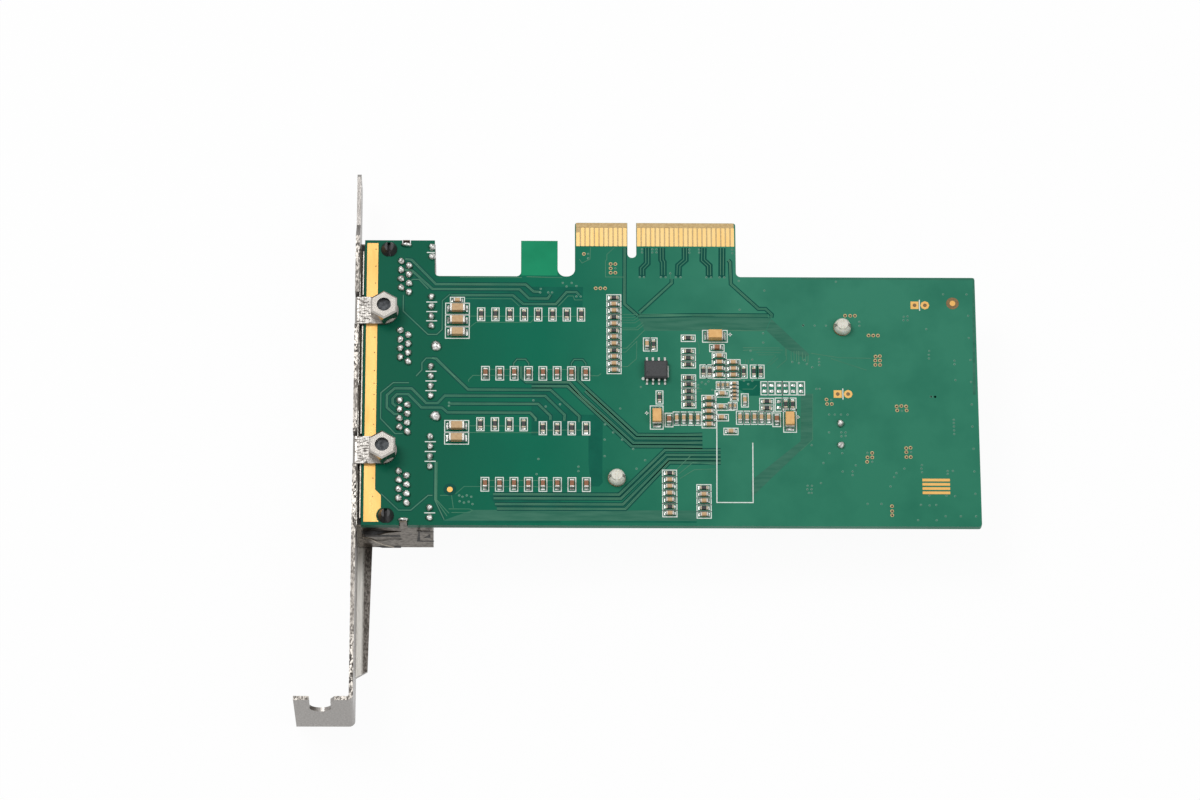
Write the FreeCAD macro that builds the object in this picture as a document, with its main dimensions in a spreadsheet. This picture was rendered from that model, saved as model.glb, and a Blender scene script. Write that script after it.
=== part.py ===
"""Four-port network interface card on a PCI Express x4 board, with its full-height bracket.

The card lies with its component side down. The board's solder face looks up, X runs from the
bracket to the far end, Y runs towards the edge contacts, and Z is up. Every place below is
first given in the board's own axes: X and Y from the board corner next to the bracket, Z from
the solder face, negative towards the component side. ORIGIN then moves the whole card so that
its frame starts at the bottom centre of its overall box.
"""

import FreeCAD, Part
import math
import os
import re

import Sketcher

V = FreeCAD.Vector
XY, XZ, YZ = "XY_Plane", "XZ_Plane", "YZ_Plane"

doc = FreeCAD.newDocument("NetworkCard")
sheet = doc.addObject("Spreadsheet::Sheet", "Dims")
sheet.Label = "driving dimensions"

DIMENSIONS = {
    # circuit board
    "board_length": 130.0, "board_edge": 56.3, "board_thickness": 1.6, "shoulder_margin": 0.62,
    "shoulder_top": 64.5, "stub_start": 33.3, "stub_width": 7.8, "stub_top": 64.5,
    "finger_tip": 68.9, "notch_fillet": 1.7, "recess_fillet": 1.0, "corner_fillet": 0.6,
    # edge contacts of the x4 slot
    "key_centre": 56.95, "key_width": 1.9, "key_depth": 8.25, "key_to_contact": 1.5,
    "contact_pitch": 1.0, "contacts_before_key": 11, "contacts_after_key": 21,
    "contact_width": 0.7, "contact_length": 4.25, "contact_short": 1.1, "contact_margin": 0.65,
    "bevel_length": 1.3, "bevel_depth": 0.43, "plating": 0.04,
    # bracket
    "sheet_thickness": 0.86, "bracket_width": 18.42, "bracket_overhang": 2.4,
    "bracket_gap": 1.04, "bracket_bottom": 39.1, "bracket_length": 120.02, "tab_reach": 11.43,
    "bend_radius": 0.4, "tail_width": 10.19, "tail_length": 16.3, "tail_corner": 1.0,
    "screw_notch_width": 4.42, "screw_notch_depth": 7.8, "screw_notch_centre": 6.0,
    "screw_notch_flare": 0.9, "ear_width": 6.05, "ear_reach": 4.3, "ear_slit": 0.6,
    "ear_slit_depth": 0.7, "ear_spacing": 31.6, "window_width": 14.5, "window_height": 11.8,
    "lip_width": 3.1, "lip_narrow": 2.4, "lip_start": 4.0, "lip_end": 28.6, "lip_slant": 1.4,
    # jack block
    "port_pitch": 15.88, "jack_margin": 0.3, "jack_depth": 15.0, "jack_height": 13.3,
    "shield_thickness": 0.25, "shield_setback": 0.09, "cavity_width": 11.8,
    "cavity_height": 6.9, "cavity_depth": 12.4, "cavity_floor": 2.3, "latch_width": 6.4,
    "latch_height": 1.6, "rear_space": 1.05, "port_frame_width": 14.2, "port_frame_height": 11.3,
    "peg_diameter": 3.0, "peg_x": 5.15, "peg_inset": 2.1, "peg_head": 3.5, "peg_head_top": 1.9,
    "peg_head_height": 1.6, "peg_slot": 0.7, "peg_clearance": 0.12,
    # jack contacts and indicator lamps
    "pin_pitch": 1.016, "pin_row_near": 7.76, "pin_row_step": 1.7, "pin_thickness": 0.5,
    "pin_width": 0.45, "wire_thickness": 0.3, "wire_rise": 3.3, "pin_hole": 0.9,
    "wire_floor": 1.0, "wire_front": 1.6, "wire_tip": 7.8, "wire_slot": 0.62,
    "lamp_offset": 5.7, "lamp_width": 2.5, "lamp_height": 2.2, "lamp_length": 5.0,
    "lamp_lead_spacing": 2.2, "lamp_lead_inset": 0.72, "lamp_hole": 0.8, "lamp_clearance": 0.2,
    "lamp_depth": 10.95, "lamp_lead": 0.45,
    # shield tabs and springs
    "side_tab_x": 8.85, "side_tab_width": 1.5, "tab_rise": 0.9, "rear_tab_gap": 0.35,
    "rear_tab_width": 1.2, "rear_tab_hole": 1.5, "tab_clearance": 0.15, "spring_root": 8.3,
    "spring_top": 2.9, "spring_height": 5.4, "spring_slot": 0.5, "spring_bulge": 1.1,
    # fasteners
    "thread_diameter": 3.0, "stud_hole": 3.3, "stud_depth": 7.0, "stud_recess": 0.8,
    "nut_flats": 5.5, "nut_height": 3.4, "nut_chamfer": 0.35,
    # controller, pad and heat sink
    "controller_x": 77.55, "controller_y": 27.64, "controller_size": 17.0,
    "controller_height": 1.5, "ball_height": 0.4, "ball_diameter": 0.6, "ball_pitch": 1.27,
    "ball_rows": 12, "pad_size": 15.0, "pad_thickness": 0.5, "sink_length": 40.0,
    "sink_width": 30.0, "sink_base": 2.0, "sink_height": 9.0, "fin_thickness": 1.0,
    "fin_count": 9, "ear_radius": 3.9, "pin_span_x": 48.0, "pin_span_y": 34.2,
    "push_hole": 3.1, "push_shaft": 2.8, "push_tip": 3.7, "push_tip_height": 2.2,
    "push_head": 6.0, "push_head_height": 1.2, "push_slot": 0.6, "spring_diameter": 4.6,
    "spring_wire": 0.45, "spring_turns": 4, "spring_length": 4.6,
    # line transformers
    "transformer_x": 33.0, "transformer_length": 15.1, "transformer_width": 9.6,
    "transformer_pitch": 13.6, "transformer_standoff": 0.2, "transformer_height": 5.9,
    "transformer_lead_pitch": 1.27, "transformer_leads": 12, "lead_width": 0.42, "lead_thickness": 0.25, "lead_reach": 1.5,
    # crystal
    "crystal_gap": 3.21, "crystal_y": 20.53, "crystal_pins": 4.88, "crystal_length": 11.05,
    "crystal_width": 4.65, "crystal_height": 3.6, "crystal_rim": 0.5, "crystal_pin": 0.5,
    "crystal_hole": 0.8,
    # flash memory on the solder side
    "memory_x": 61.9, "memory_y": 34.66, "memory_length": 4.9, "memory_width": 3.9,
    "memory_height": 1.45, "memory_pitch": 1.27, "memory_span": 6.2, "memory_standoff": 0.15,
    # small parts
    "small_length": 1.6, "small_width": 0.8, "small_resistor_height": 0.45,
    "small_capacitor_height": 0.8, "medium_length": 2.0, "medium_width": 1.25,
    "medium_resistor_height": 0.5, "medium_capacitor_height": 1.1, "large_length": 3.2,
    "large_width": 1.6, "large_height": 1.3, "tiny_length": 1.0, "tiny_width": 0.5,
    "tiny_height": 0.5, "tantalum_length": 3.5, "tantalum_width": 2.8, "tantalum_height": 1.9,
    "inductor_size": 7.0, "inductor_height": 3.0, "regulator_length": 6.5,
    "regulator_width": 3.5, "regulator_height": 1.6,
    # solder joints
    "joint_diameter": 1.65, "joint_top": 0.7, "joint_height": 1.0, "big_joint_diameter": 2.5,
    "big_joint_top": 1.0, "big_joint_height": 1.1,
}

for row, (alias, number) in enumerate(DIMENSIONS.items(), start=1):
    sheet.set(f"A{row}", alias.replace("_", " "))
    sheet.set(f"B{row}", str(number))
    sheet.setAlias(f"B{row}", alias)
doc.recompute()

# Places that several pieces share, written once in the named sizes.
PLATE_INNER = "-bracket_gap"
PLATE_OUTER = "-(bracket_gap + sheet_thickness)"
PLATE_LOW = "(bracket_overhang - bracket_width)"
TONGUE_LEFT = ("(key_centre - key_to_contact - (contacts_before_key - 1) * contact_pitch"
               " - contact_margin)")
TONGUE_RIGHT = ("(key_centre + key_to_contact + (contacts_after_key - 1) * contact_pitch"
                " + contact_margin)")
JACK_CENTRE = "(shoulder_top / 2)"
JACK_LOW_Y = "jack_margin"
JACK_HIGH_Y = "(shoulder_top - jack_margin)"
JACK_FRONT = "(-bracket_gap + shield_setback)"
LAMP_LEAD_X = "(jack_depth - lamp_lead_inset)"
REAR_TAB_X = "(jack_depth + rear_tab_gap)"
SHOULDER = "(jack_depth - lamp_lead_inset + shoulder_margin)"
CRYSTAL_X = "(controller_x + sink_length / 2 + crystal_gap)"
BOARD_BELOW = "(-board_thickness)"
SINK_SEAT = "(-board_thickness - ball_height - controller_height - pad_thickness)"
ORIGIN = {
    "x": "(bracket_gap + sheet_thickness + tab_reach - board_length) / 2",
    "y": "bracket_bottom - bracket_length / 2",
    "z": "bracket_width - bracket_overhang",
}
PORTS = [f"({JACK_CENTRE} + {1.5 - number} * port_pitch)" for number in range(4)]
STUDS = [f"({JACK_CENTRE} + ear_spacing / 2)", f"({JACK_CENTRE} - ear_spacing / 2)"]
PUSH_PINS = [("(controller_x - pin_span_x / 2)", "(controller_y - pin_span_y / 2)"),
             ("(controller_x + pin_span_x / 2)", "(controller_y + pin_span_y / 2)")]


def tied(expression):
    """The expression with each named size read from the sheet."""
    return re.sub(r"\b([a-z][a-z_]*[a-z])\b(?!\()", r"Dims.\1", expression)


def value(expression):
    """What an expression in the named sizes is worth now."""
    return float(sheet.evalExpression(tied(expression)))


def bind(thing, **sizes):
    """Ties properties of a document object to expressions in the named sizes."""
    for name, expression in sizes.items():
        thing.setExpression(name, tied(str(expression)))
    return thing


def put(thing, x="0", y="0", z="0"):
    """Places an object in the board's axes."""
    for axis, expression in (("x", x), ("y", y), ("z", z)):
        thing.setExpression(f"Placement.Base.{axis}", tied(str(expression)))
    return thing


def finish(thing, label):
    """Names a finished sub-part and moves it from the board's axes to the card's frame."""
    thing.Label = label
    put(thing, ORIGIN["x"], ORIGIN["y"], ORIGIN["z"])
    NODES.append(thing)
    return thing


NODES = []


# ---- primitives -------------------------------------------------------------------------------

def box(length, width, height, x, y, z):
    """A block with its low corner at x, y, z."""
    block = doc.addObject("Part::Box", "Block")
    bind(block, Length=length, Width=width, Height=height)
    return put(block, x, y, z)


def centred_box(length, width, height, x, y, z):
    """A block centred on x and y that stands on z."""
    return box(length, width, height, f"{x} - ({length}) / 2", f"{y} - ({width}) / 2", z)


def cylinder(diameter, height, x, y, z):
    """An upright round bar that starts at z."""
    rod = doc.addObject("Part::Cylinder", "Rod")
    bind(rod, Radius=f"({diameter}) / 2", Height=height)
    return put(rod, x, y, z)


def cone(bottom, top, height, x, y, z):
    """An upright cone between two diameters."""
    taper = doc.addObject("Part::Cone", "Taper")
    bind(taper, Radius1=f"({bottom}) / 2", Radius2=f"({top}) / 2", Height=height)
    return put(taper, x, y, z)


def cut(base, *tools):
    """The base with each tool taken away in turn."""
    for tool in tools:
        result = doc.addObject("Part::Cut", "Cut")
        result.Base = base
        result.Tool = tool
        base = result
    return base


def fuse(*shapes):
    """Several shapes that are one piece of material."""
    joined = doc.addObject("Part::MultiFuse", "Joined")
    joined.Shapes = list(shapes)
    joined.Refine = True
    return joined


def group(label, pieces):
    """One node that holds several separate pieces of a kind."""
    compound = doc.addObject("Part::Compound", "Group")
    compound.Links = pieces
    return finish(compound, label)


# ---- sketched bodies --------------------------------------------------------------------------

def new_body(name):
    body = doc.addObject("PartDesign::Body", name)
    body.AllowCompound = True
    return body


def sketch_on(body, plane, offset="0"):
    """An empty sketch on one of the body's origin planes, moved along its normal."""
    support = next(item for item in body.Origin.OriginFeatures if item.Role == plane)
    sketch = body.newObject("Sketcher::SketchObject", "Profile")
    sketch.AttachmentSupport = (support, [""])
    sketch.MapMode = "FlatFace"
    sketch.setExpression("AttachmentOffset.Base.z", tied(offset))
    return sketch


def hold(sketch, geometry, end, across, up):
    """Ties one point of a sketch to two expressions, measured from the sketch's origin."""
    for kind, expression in (("DistanceX", across), ("DistanceY", up)):
        now = value(expression)
        index = sketch.addConstraint(Sketcher.Constraint(kind, -1, 1, geometry, end, now))
        sketch.setExpression(f"Constraints[{index}]", tied(expression))


def outline(sketch, corners):
    """Adds a closed polygon whose corners are pairs of expressions."""
    points = [V(value(across), value(up), 0) for across, up in corners]
    first = sketch.GeometryCount
    count = len(points)
    for number in range(count):
        sketch.addGeometry(Part.LineSegment(points[number], points[(number + 1) % count]))
    for number in range(count):
        following = first + (number + 1) % count
        sketch.addConstraint(Sketcher.Constraint("Coincident", first + number, 2, following, 1))
        hold(sketch, first + number, 1, *corners[number])


def rectangle(sketch, left, right, low, high):
    outline(sketch, [(left, low), (right, low), (right, high), (left, high)])


def circles(sketch, centres, diameter):
    """Adds circles of one diameter at several centres."""
    for across, up in centres:
        centre = V(value(across), value(up), 0)
        index = sketch.addGeometry(Part.Circle(centre, V(0, 0, 1), value(diameter) / 2))
        hold(sketch, index, 3, across, up)
        size = Sketcher.Constraint("Diameter", index, value(diameter))
        sketch.setExpression(f"Constraints[{sketch.addConstraint(size)}]", tied(diameter))


def hexagon(sketch, across, up, diameter):
    """Adds a hexagon whose corners lie on a circle of the diameter."""
    turns = [math.pi * number / 3 for number in range(6)]
    outline(sketch, [(f"{across} + {math.cos(turn) / 2:.6f} * {diameter}",
                      f"{up} + {math.sin(turn) / 2:.6f} * {diameter}") for turn in turns])


def pad(body, sketch, length, down=False):
    feature = body.newObject("PartDesign::Pad", "Pad")
    feature.Profile = sketch
    feature.Reversed = down
    bind(feature, Length=length)
    doc.recompute()
    return feature


def pocket(body, sketch, depth=None, back=False, both_ways=False):
    """Cuts a sketch's outline away, through everything where no depth is given."""
    before = body.Shape.Volume
    feature = body.newObject("PartDesign::Pocket", "Pocket")
    feature.Profile = sketch
    feature.Reversed = back
    feature.Midplane = both_ways
    if depth is None:
        feature.Type = "ThroughAll"
    else:
        bind(feature, Length=depth)
    doc.recompute()
    if not body.Shape.Volume < before - 1e-6:
        raise RuntimeError(f"a pocket of {body.Name} cuts nothing")
    return feature


def repeat(body, features, axis, pitch, count):
    """Repeats features along one of the body's axes; a negative pitch runs backwards."""
    pattern = body.newObject("PartDesign::LinearPattern", "Pattern")
    pattern.Originals = features
    line = next(item for item in body.Origin.OriginFeatures if item.Role == axis)
    pattern.Direction = (line, [""])
    pattern.Mode = "Spacing"
    bind(pattern, Offset=pitch, Occurrences=count)
    body.Tip = pattern
    doc.recompute()
    return pattern


def edges_near(body, test):
    """Names of the body's edges whose two end points pass a test."""
    names = []
    for number, edge in enumerate(body.Shape.Edges, start=1):
        ends = [vertex.Point for vertex in edge.Vertexes]
        if len(ends) == 2 and test(*ends):
            names.append(f"Edge{number}")
    if not names:
        raise RuntimeError(f"no edge of {body.Name} passes the test")
    return names


def dress(body, kind, test, **sizes):
    """Adds a fillet or a chamfer to the edges that pass a test."""
    base = (body.Tip, edges_near(body, test))
    feature = body.newObject(f"PartDesign::{kind}", kind)
    feature.Base = base
    bind(feature, **sizes)
    doc.recompute()
    return feature


def round_edges(body, test, radius):
    return dress(body, "Fillet", test, Radius=radius)


def break_edges(body, test, size):
    return dress(body, "Chamfer", test, Size=size)


def close(first, second):
    return abs(first - second) < 1e-4


def upright_at(*places):
    """A test for the upright edges that stand at given x and y expressions."""
    spots = [(value(x), value(y)) for x, y in places]

    def stands(a, b):
        return any(close(a.x, x) and close(b.x, x) and close(a.y, y) and close(b.y, y)
                   for x, y in spots)
    return stands


def along(axis, **levels):
    """A test for edges that run along one axis, at given levels of the other two."""
    def runs(a, b):
        return all(close(getattr(point, name), level)
                   for point in (a, b) for name, level in levels.items()) and not close(
                       getattr(a, axis), getattr(b, axis))
    return runs


# ---- circuit board ----------------------------------------------------------------------------

def jack_pins(near):
    """Places of the contact pins of one row, four for each port."""
    first = "3.5" if near else "2.5"
    x = "pin_row_near" if near else "(pin_row_near + pin_row_step)"
    return [(x, f"{port} + ({first} - {2 * number}) * pin_pitch")
            for port in PORTS for number in range(4)]


def lamp_pins():
    """Places of the indicator lamps' leads, two for each lamp."""
    return [(LAMP_LEAD_X, f"{port} + {side} * lamp_offset + {lead} * lamp_lead_spacing / 2")
            for port in PORTS for side in (1, -1) for lead in (1, -1)]


def make_board():
    body = new_body("Board")
    plate = sketch_on(body, XY)
    stub_end = "(stub_start + stub_width)"
    outline(plate, [
        ("0", "0"), ("board_length", "0"), ("board_length", "board_edge"),
        (TONGUE_RIGHT, "board_edge"), (TONGUE_RIGHT, "finger_tip"), (TONGUE_LEFT, "finger_tip"),
        (TONGUE_LEFT, "board_edge"), (stub_end, "board_edge"), (stub_end, "stub_top"),
        ("stub_start", "stub_top"), ("stub_start", "board_edge"),
        (SHOULDER, "board_edge"), (SHOULDER, "shoulder_top"),
        ("0", "shoulder_top")])
    pad(body, plate, "board_thickness", down=True)
    round_edges(body, upright_at((TONGUE_LEFT, "board_edge"), (stub_end, "board_edge")),
                "notch_fillet")
    round_edges(body, upright_at(("stub_start", "board_edge"), (SHOULDER, "board_edge"),
                                 (TONGUE_RIGHT, "board_edge")), "recess_fillet")
    round_edges(body, upright_at(("board_length", "0"), ("board_length", "board_edge"),
                                 (TONGUE_LEFT, "finger_tip"), (TONGUE_RIGHT, "finger_tip")),
                "corner_fillet")
    key = sketch_on(body, XY)
    key_left, key_right = "key_centre - key_width / 2", "key_centre + key_width / 2"
    rectangle(key, key_left, key_right, "finger_tip - key_depth", "finger_tip + 1")
    pocket(body, key)
    key_floor = "finger_tip - key_depth"
    round_edges(body, upright_at((key_left, key_floor), (key_right, key_floor)),
                "0.48 * key_width")
    # Both faces of the tongue slope towards its tip, so that it slides into the slot.
    for face, slope in (("0", "-bevel_depth"), (BOARD_BELOW, f"{BOARD_BELOW} + bevel_depth")):
        bevel = sketch_on(body, YZ)
        outline(bevel, [("finger_tip - bevel_length", face), ("finger_tip", face),
                        ("finger_tip", slope)])
        pocket(body, bevel, "4 * key_centre", both_ways=True)
    # Edge notches let the shield's side tabs through.
    notches = sketch_on(body, XY)
    left = "side_tab_x - side_tab_width / 2 - tab_clearance"
    right = "side_tab_x + side_tab_width / 2 + tab_clearance"
    inner = "jack_margin + shield_thickness + tab_clearance"
    rectangle(notches, left, right, "-1", inner)
    rectangle(notches, left, right, f"shoulder_top - ({inner})", "shoulder_top + 1")
    pocket(body, notches)
    # The holes for the contact pins and lamp leads, six-sided, port by port from the lowest.
    drilled = sketch_on(body, XY)
    for x, y in jack_pins(True)[-4:] + jack_pins(False)[-4:]:
        hexagon(drilled, x, y, "pin_hole")
    for x, y in lamp_pins()[-4:]:
        hexagon(drilled, x, y, "lamp_hole")
    repeat(body, [pocket(body, drilled)], "Y_Axis", "port_pitch", "4")
    for centres, diameter in (
            ([(REAR_TAB_X, port) for port in PORTS[1:3]], "rear_tab_hole"),
            ([("peg_x", place) for place in PEGS], "peg_diameter + 2 * peg_clearance"),
            ([("ear_reach", place) for place in STUDS], "stud_hole"),
            (PUSH_PINS, "push_hole"), (CRYSTAL_PINS, "crystal_hole")):
        holes = sketch_on(body, XY)
        circles(holes, centres, diameter)
        pocket(body, holes)
    finish(body, "printed_circuit_board")


PEGS = ["peg_inset", "(shoulder_top - peg_inset)"]
CRYSTAL_PINS = [(CRYSTAL_X, "(crystal_y - crystal_pins / 2)"),
                (CRYSTAL_X, "(crystal_y + crystal_pins / 2)")]


def make_edge_contacts(label, z, short):
    """The plated contacts of one face; short lists the ones that mate last."""
    pads = []
    before = int(value("contacts_before_key"))
    total = before + int(value("contacts_after_key"))
    for number in range(total):
        if number < before:
            x = f"key_centre - key_to_contact - {before - 1 - number} * contact_pitch"
        else:
            x = f"key_centre + key_to_contact + {number - before} * contact_pitch"
        length = "contact_length - contact_short" if number in short else "contact_length"
        top = "finger_tip - bevel_length - 0.05"
        low = f"{top} - contact_length"
        pads.append(box("contact_width", length, "plating", f"{x} - contact_width / 2", low, z))
    group(label, pads)


def make_ground_strip():
    """Bare plated copper under the bracket's ears, cut clear of the jack's pegs and studs."""
    body = new_body("GroundStrip")
    strip = sketch_on(body, XY)
    outline(strip, [
        ("0.5", "0.7"), ("4.1", "0.7"), ("4.1", "6.6"), ("2.85", "7.9"),
        ("2.85", "shoulder_top - 0.7"), ("0.5", "shoulder_top - 0.7")])
    pad(body, strip, "plating")
    clear = sketch_on(body, XY)
    circles(clear, [("peg_x", place) for place in PEGS], "peg_head + 0.5")
    pocket(body, clear, back=True)
    bores = sketch_on(body, XY)
    circles(bores, [("ear_reach", stud) for stud in STUDS], "stud_hole")
    pocket(body, bores, back=True)
    finish(body, "ground_strip")


def make_bare_pads():
    """Unpopulated lands and round targets on the solder side."""
    pads = []
    for x, y in (("100.3", "29.64"), ("board_length - 12.95", "49.94")):
        pads.append(centred_box("1.7", "1.7", "plating", x, y, "0"))
        land = doc.addObject("Part::Prism", "Land")
        land.Polygon = 8
        bind(land, Circumradius="0.95", Height="plating")
        pads.append(put(land, f"{x} + 2.2", y, "0"))
    for x, y in (("18.53", "7.93"), ("board_length - 4.86", "50.41")):
        pads.append(cylinder("1.2", "plating", x, y, "0"))
    for number in range(4):
        pads.append(box("5.8", "0.6", "plating", "board_length - 12.28", f"7.2 + {number} * 0.95", "0"))
    group("bare_pads", pads)


# ---- bracket ----------------------------------------------------------------------------------

def make_bracket():
    body = new_body("Bracket")
    section = sketch_on(body, XY, PLATE_LOW)
    tip = "bracket_length - bracket_bottom"
    outer_corner = f"{PLATE_OUTER} - tab_reach"
    tab_face = "sheet_thickness - bracket_bottom"
    outline(section, [
        (outer_corner, "-bracket_bottom"), (PLATE_INNER, "-bracket_bottom"), (PLATE_INNER, tip),
        (PLATE_OUTER, tip), (PLATE_OUTER, tab_face), (outer_corner, tab_face)])
    pad(body, section, "bracket_width")
    round_edges(body, upright_at((PLATE_INNER, "-bracket_bottom")),
                "bend_radius + sheet_thickness")
    round_edges(body, upright_at((PLATE_OUTER, tab_face)), "bend_radius")
    # The tail is narrower than the plate and meets it in two slopes.
    tail_foot = f"{tip} - tail_length"
    step = "(bracket_width - tail_width) / 2"
    sides = sketch_on(body, YZ)
    for edge, inward in (("bracket_overhang", "-1"), (PLATE_LOW, "1")):
        outline(sides, [(tail_foot, edge), (f"{tail_foot} + {step}", f"{edge} + {inward} * {step}"),
                        (f"{tip} + 1", f"{edge} + {inward} * {step}"),
                        (f"{tip} + 1", f"{edge} - {inward}"), (tail_foot, f"{edge} - {inward}")])
    pocket(body, sides)
    tip_y = value(tip)
    break_edges(body, along("x", y=tip_y), "tail_corner")
    # One window for each port.
    windows = sketch_on(body, YZ)
    middle = "(-board_thickness - jack_height / 2)"
    for port in PORTS:
        rectangle(windows, f"{port} - window_width / 2", f"{port} + window_width / 2",
                  f"{middle} - window_height / 2", f"{middle} + window_height / 2")
    pocket(body, windows)
    # The sheet over each ear was cut free at two slits and folded down onto the board.
    ear_top = "(plating + sheet_thickness)"
    folded = sketch_on(body, YZ)
    for stud in STUDS:
        low, high = f"{stud} - ear_width / 2", f"{stud} + ear_width / 2"
        floor = "-ear_slit_depth"
        outline(folded, [
            (f"{low} - ear_slit", floor), (low, floor), (low, ear_top), (high, ear_top),
            (high, floor), (f"{high} + ear_slit", floor),
            (f"{high} + ear_slit", "bracket_overhang + 1"),
            (f"{low} - ear_slit", "bracket_overhang + 1")])
    pocket(body, folded)
    ears = sketch_on(body, XY, "plating")
    for stud in STUDS:
        rectangle(ears, PLATE_OUTER, "ear_reach", f"{stud} - ear_width / 2",
                  f"{stud} + ear_width / 2")
    pad(body, ears, "sheet_thickness")
    ends = sketch_on(body, XY, "plating")
    circles(ends, [("ear_reach", stud) for stud in STUDS], "ear_width")
    pad(body, ends, "sheet_thickness")
    outer, top = value(PLATE_OUTER), value(ear_top)
    round_edges(body, along("y", x=outer, z=top), "bend_radius + 0.5 * sheet_thickness")
    holes = sketch_on(body, XY)
    circles(holes, [("ear_reach", stud) for stud in STUDS], "stud_hole")
    pocket(body, holes, back=True)
    # A folded lip stiffens the bare stretch between the jack and the tab.
    lip = sketch_on(body, XY, PLATE_LOW)
    outline(lip, [
        (PLATE_OUTER, "lip_start"), (PLATE_OUTER, "-lip_end"),
        (PLATE_INNER, "-lip_end"), (f"{PLATE_INNER} + lip_narrow", "lip_slant - lip_end"),
        (f"{PLATE_INNER} + lip_width", "lip_start - lip_slant"), (PLATE_INNER, "lip_start")])
    pad(body, lip, "sheet_thickness")
    # The tab's notch for the case screw opens towards the solder side.
    notch_middle = f"({PLATE_OUTER} - screw_notch_centre)"
    half = "screw_notch_width / 2"
    round_middle = f"(bracket_overhang - screw_notch_depth + {half})"
    notch = sketch_on(body, XZ)
    outline(notch, [
        (f"{notch_middle} - {half}", round_middle), (f"{notch_middle} + {half}", round_middle),
        (f"{notch_middle} + {half}", "bracket_overhang - 2 * screw_notch_flare"),
        (f"{notch_middle} + {half} + screw_notch_flare", "bracket_overhang"),
        (f"{notch_middle} + {half} + screw_notch_flare", "bracket_overhang + 1"),
        (f"{notch_middle} - {half}", "bracket_overhang + 1")])
    pocket(body, notch, back=True)
    bottom = sketch_on(body, XZ)
    circles(bottom, [(notch_middle, round_middle)], "screw_notch_width")
    pocket(body, bottom, back=True)
    finish(body, "mounting_bracket")


# ---- jack block -------------------------------------------------------------------------------

def make_shield():
    """One folded sheet round the jack block, open towards the board."""
    body = new_body("Shield")
    outer = sketch_on(body, XY, BOARD_BELOW)
    rectangle(outer, JACK_FRONT, "jack_depth", JACK_LOW_Y, JACK_HIGH_Y)
    pad(body, outer, "jack_height", down=True)
    wall = "shield_thickness"
    inner = sketch_on(body, XY, BOARD_BELOW)
    rectangle(inner, f"{JACK_FRONT} + {wall}", f"jack_depth - {wall}", f"{JACK_LOW_Y} + {wall}",
              f"{JACK_HIGH_Y} - {wall}")
    pocket(body, inner, f"jack_height - {wall}")
    frames = sketch_on(body, YZ, JACK_FRONT)
    middle = "(-board_thickness - jack_height / 2)"
    for port in PORTS:
        rectangle(frames, f"{port} - port_frame_width / 2", f"{port} + port_frame_width / 2",
                  f"{middle} - port_frame_height / 2", f"{middle} + port_frame_height / 2")
    pocket(body, frames, wall, back=True)
    # Each end wall has a window whose sheet is bowed outwards as a contact spring.
    top = "(-board_thickness - spring_top)"
    window = sketch_on(body, XZ)
    rectangle(window, "0", "spring_root", f"{top} - spring_height", top)
    rectangle(window, "spring_root + 3.3", "jack_depth - 0.6", f"{top} - 0.2", f"{top} + 0.25")
    pocket(body, window, "3 * shoulder_top", both_ways=True)
    springs = sketch_on(body, XY, f"{top} - spring_height + spring_slot")
    for face, outward in ((JACK_LOW_Y, "-1"), (JACK_HIGH_Y, "1")):
        bow = [("1", "0"), ("0.66", "0.3"), ("0.36", "0.85"), ("0.15", "1"), ("0.02", "0.7")]
        outside = [(f"{share} * spring_root", f"{face} + {outward} * {rise} * spring_bulge")
                   for share, rise in bow]
        inside = [(x, f"{y} - {outward} * {wall}") for x, y in reversed(outside)]
        outline(springs, outside + inside)
    pad(body, springs, "spring_height - 2 * spring_slot")
    tabs = sketch_on(body, XY, BOARD_BELOW)
    left, right = "side_tab_x - side_tab_width / 2", "side_tab_x + side_tab_width / 2"
    rectangle(tabs, left, right, JACK_LOW_Y, f"{JACK_LOW_Y} + {wall}")
    rectangle(tabs, left, right, f"{JACK_HIGH_Y} - {wall}", JACK_HIGH_Y)
    pad(body, tabs, "board_thickness + tab_rise")
    feet = sketch_on(body, XY, BOARD_BELOW)
    pins = sketch_on(body, XY, BOARD_BELOW)
    for port in PORTS[1:3]:
        low, high = f"{port} - rear_tab_width / 2", f"{port} + rear_tab_width / 2"
        rectangle(feet, f"jack_depth - {wall}", f"{REAR_TAB_X} + {wall} / 2", low, high)
        rectangle(pins, f"{REAR_TAB_X} - {wall} / 2", f"{REAR_TAB_X} + {wall} / 2", low, high)
    pad(body, feet, wall, down=True)
    pad(body, pins, "board_thickness")
    finish(body, "jack_shield")


CAVITY_TOP = "(-board_thickness - cavity_floor)"
LAMP_LEVEL = "(-board_thickness - lamp_depth)"
HOUSING_FRONT = f"({JACK_FRONT} + shield_thickness)"


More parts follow.
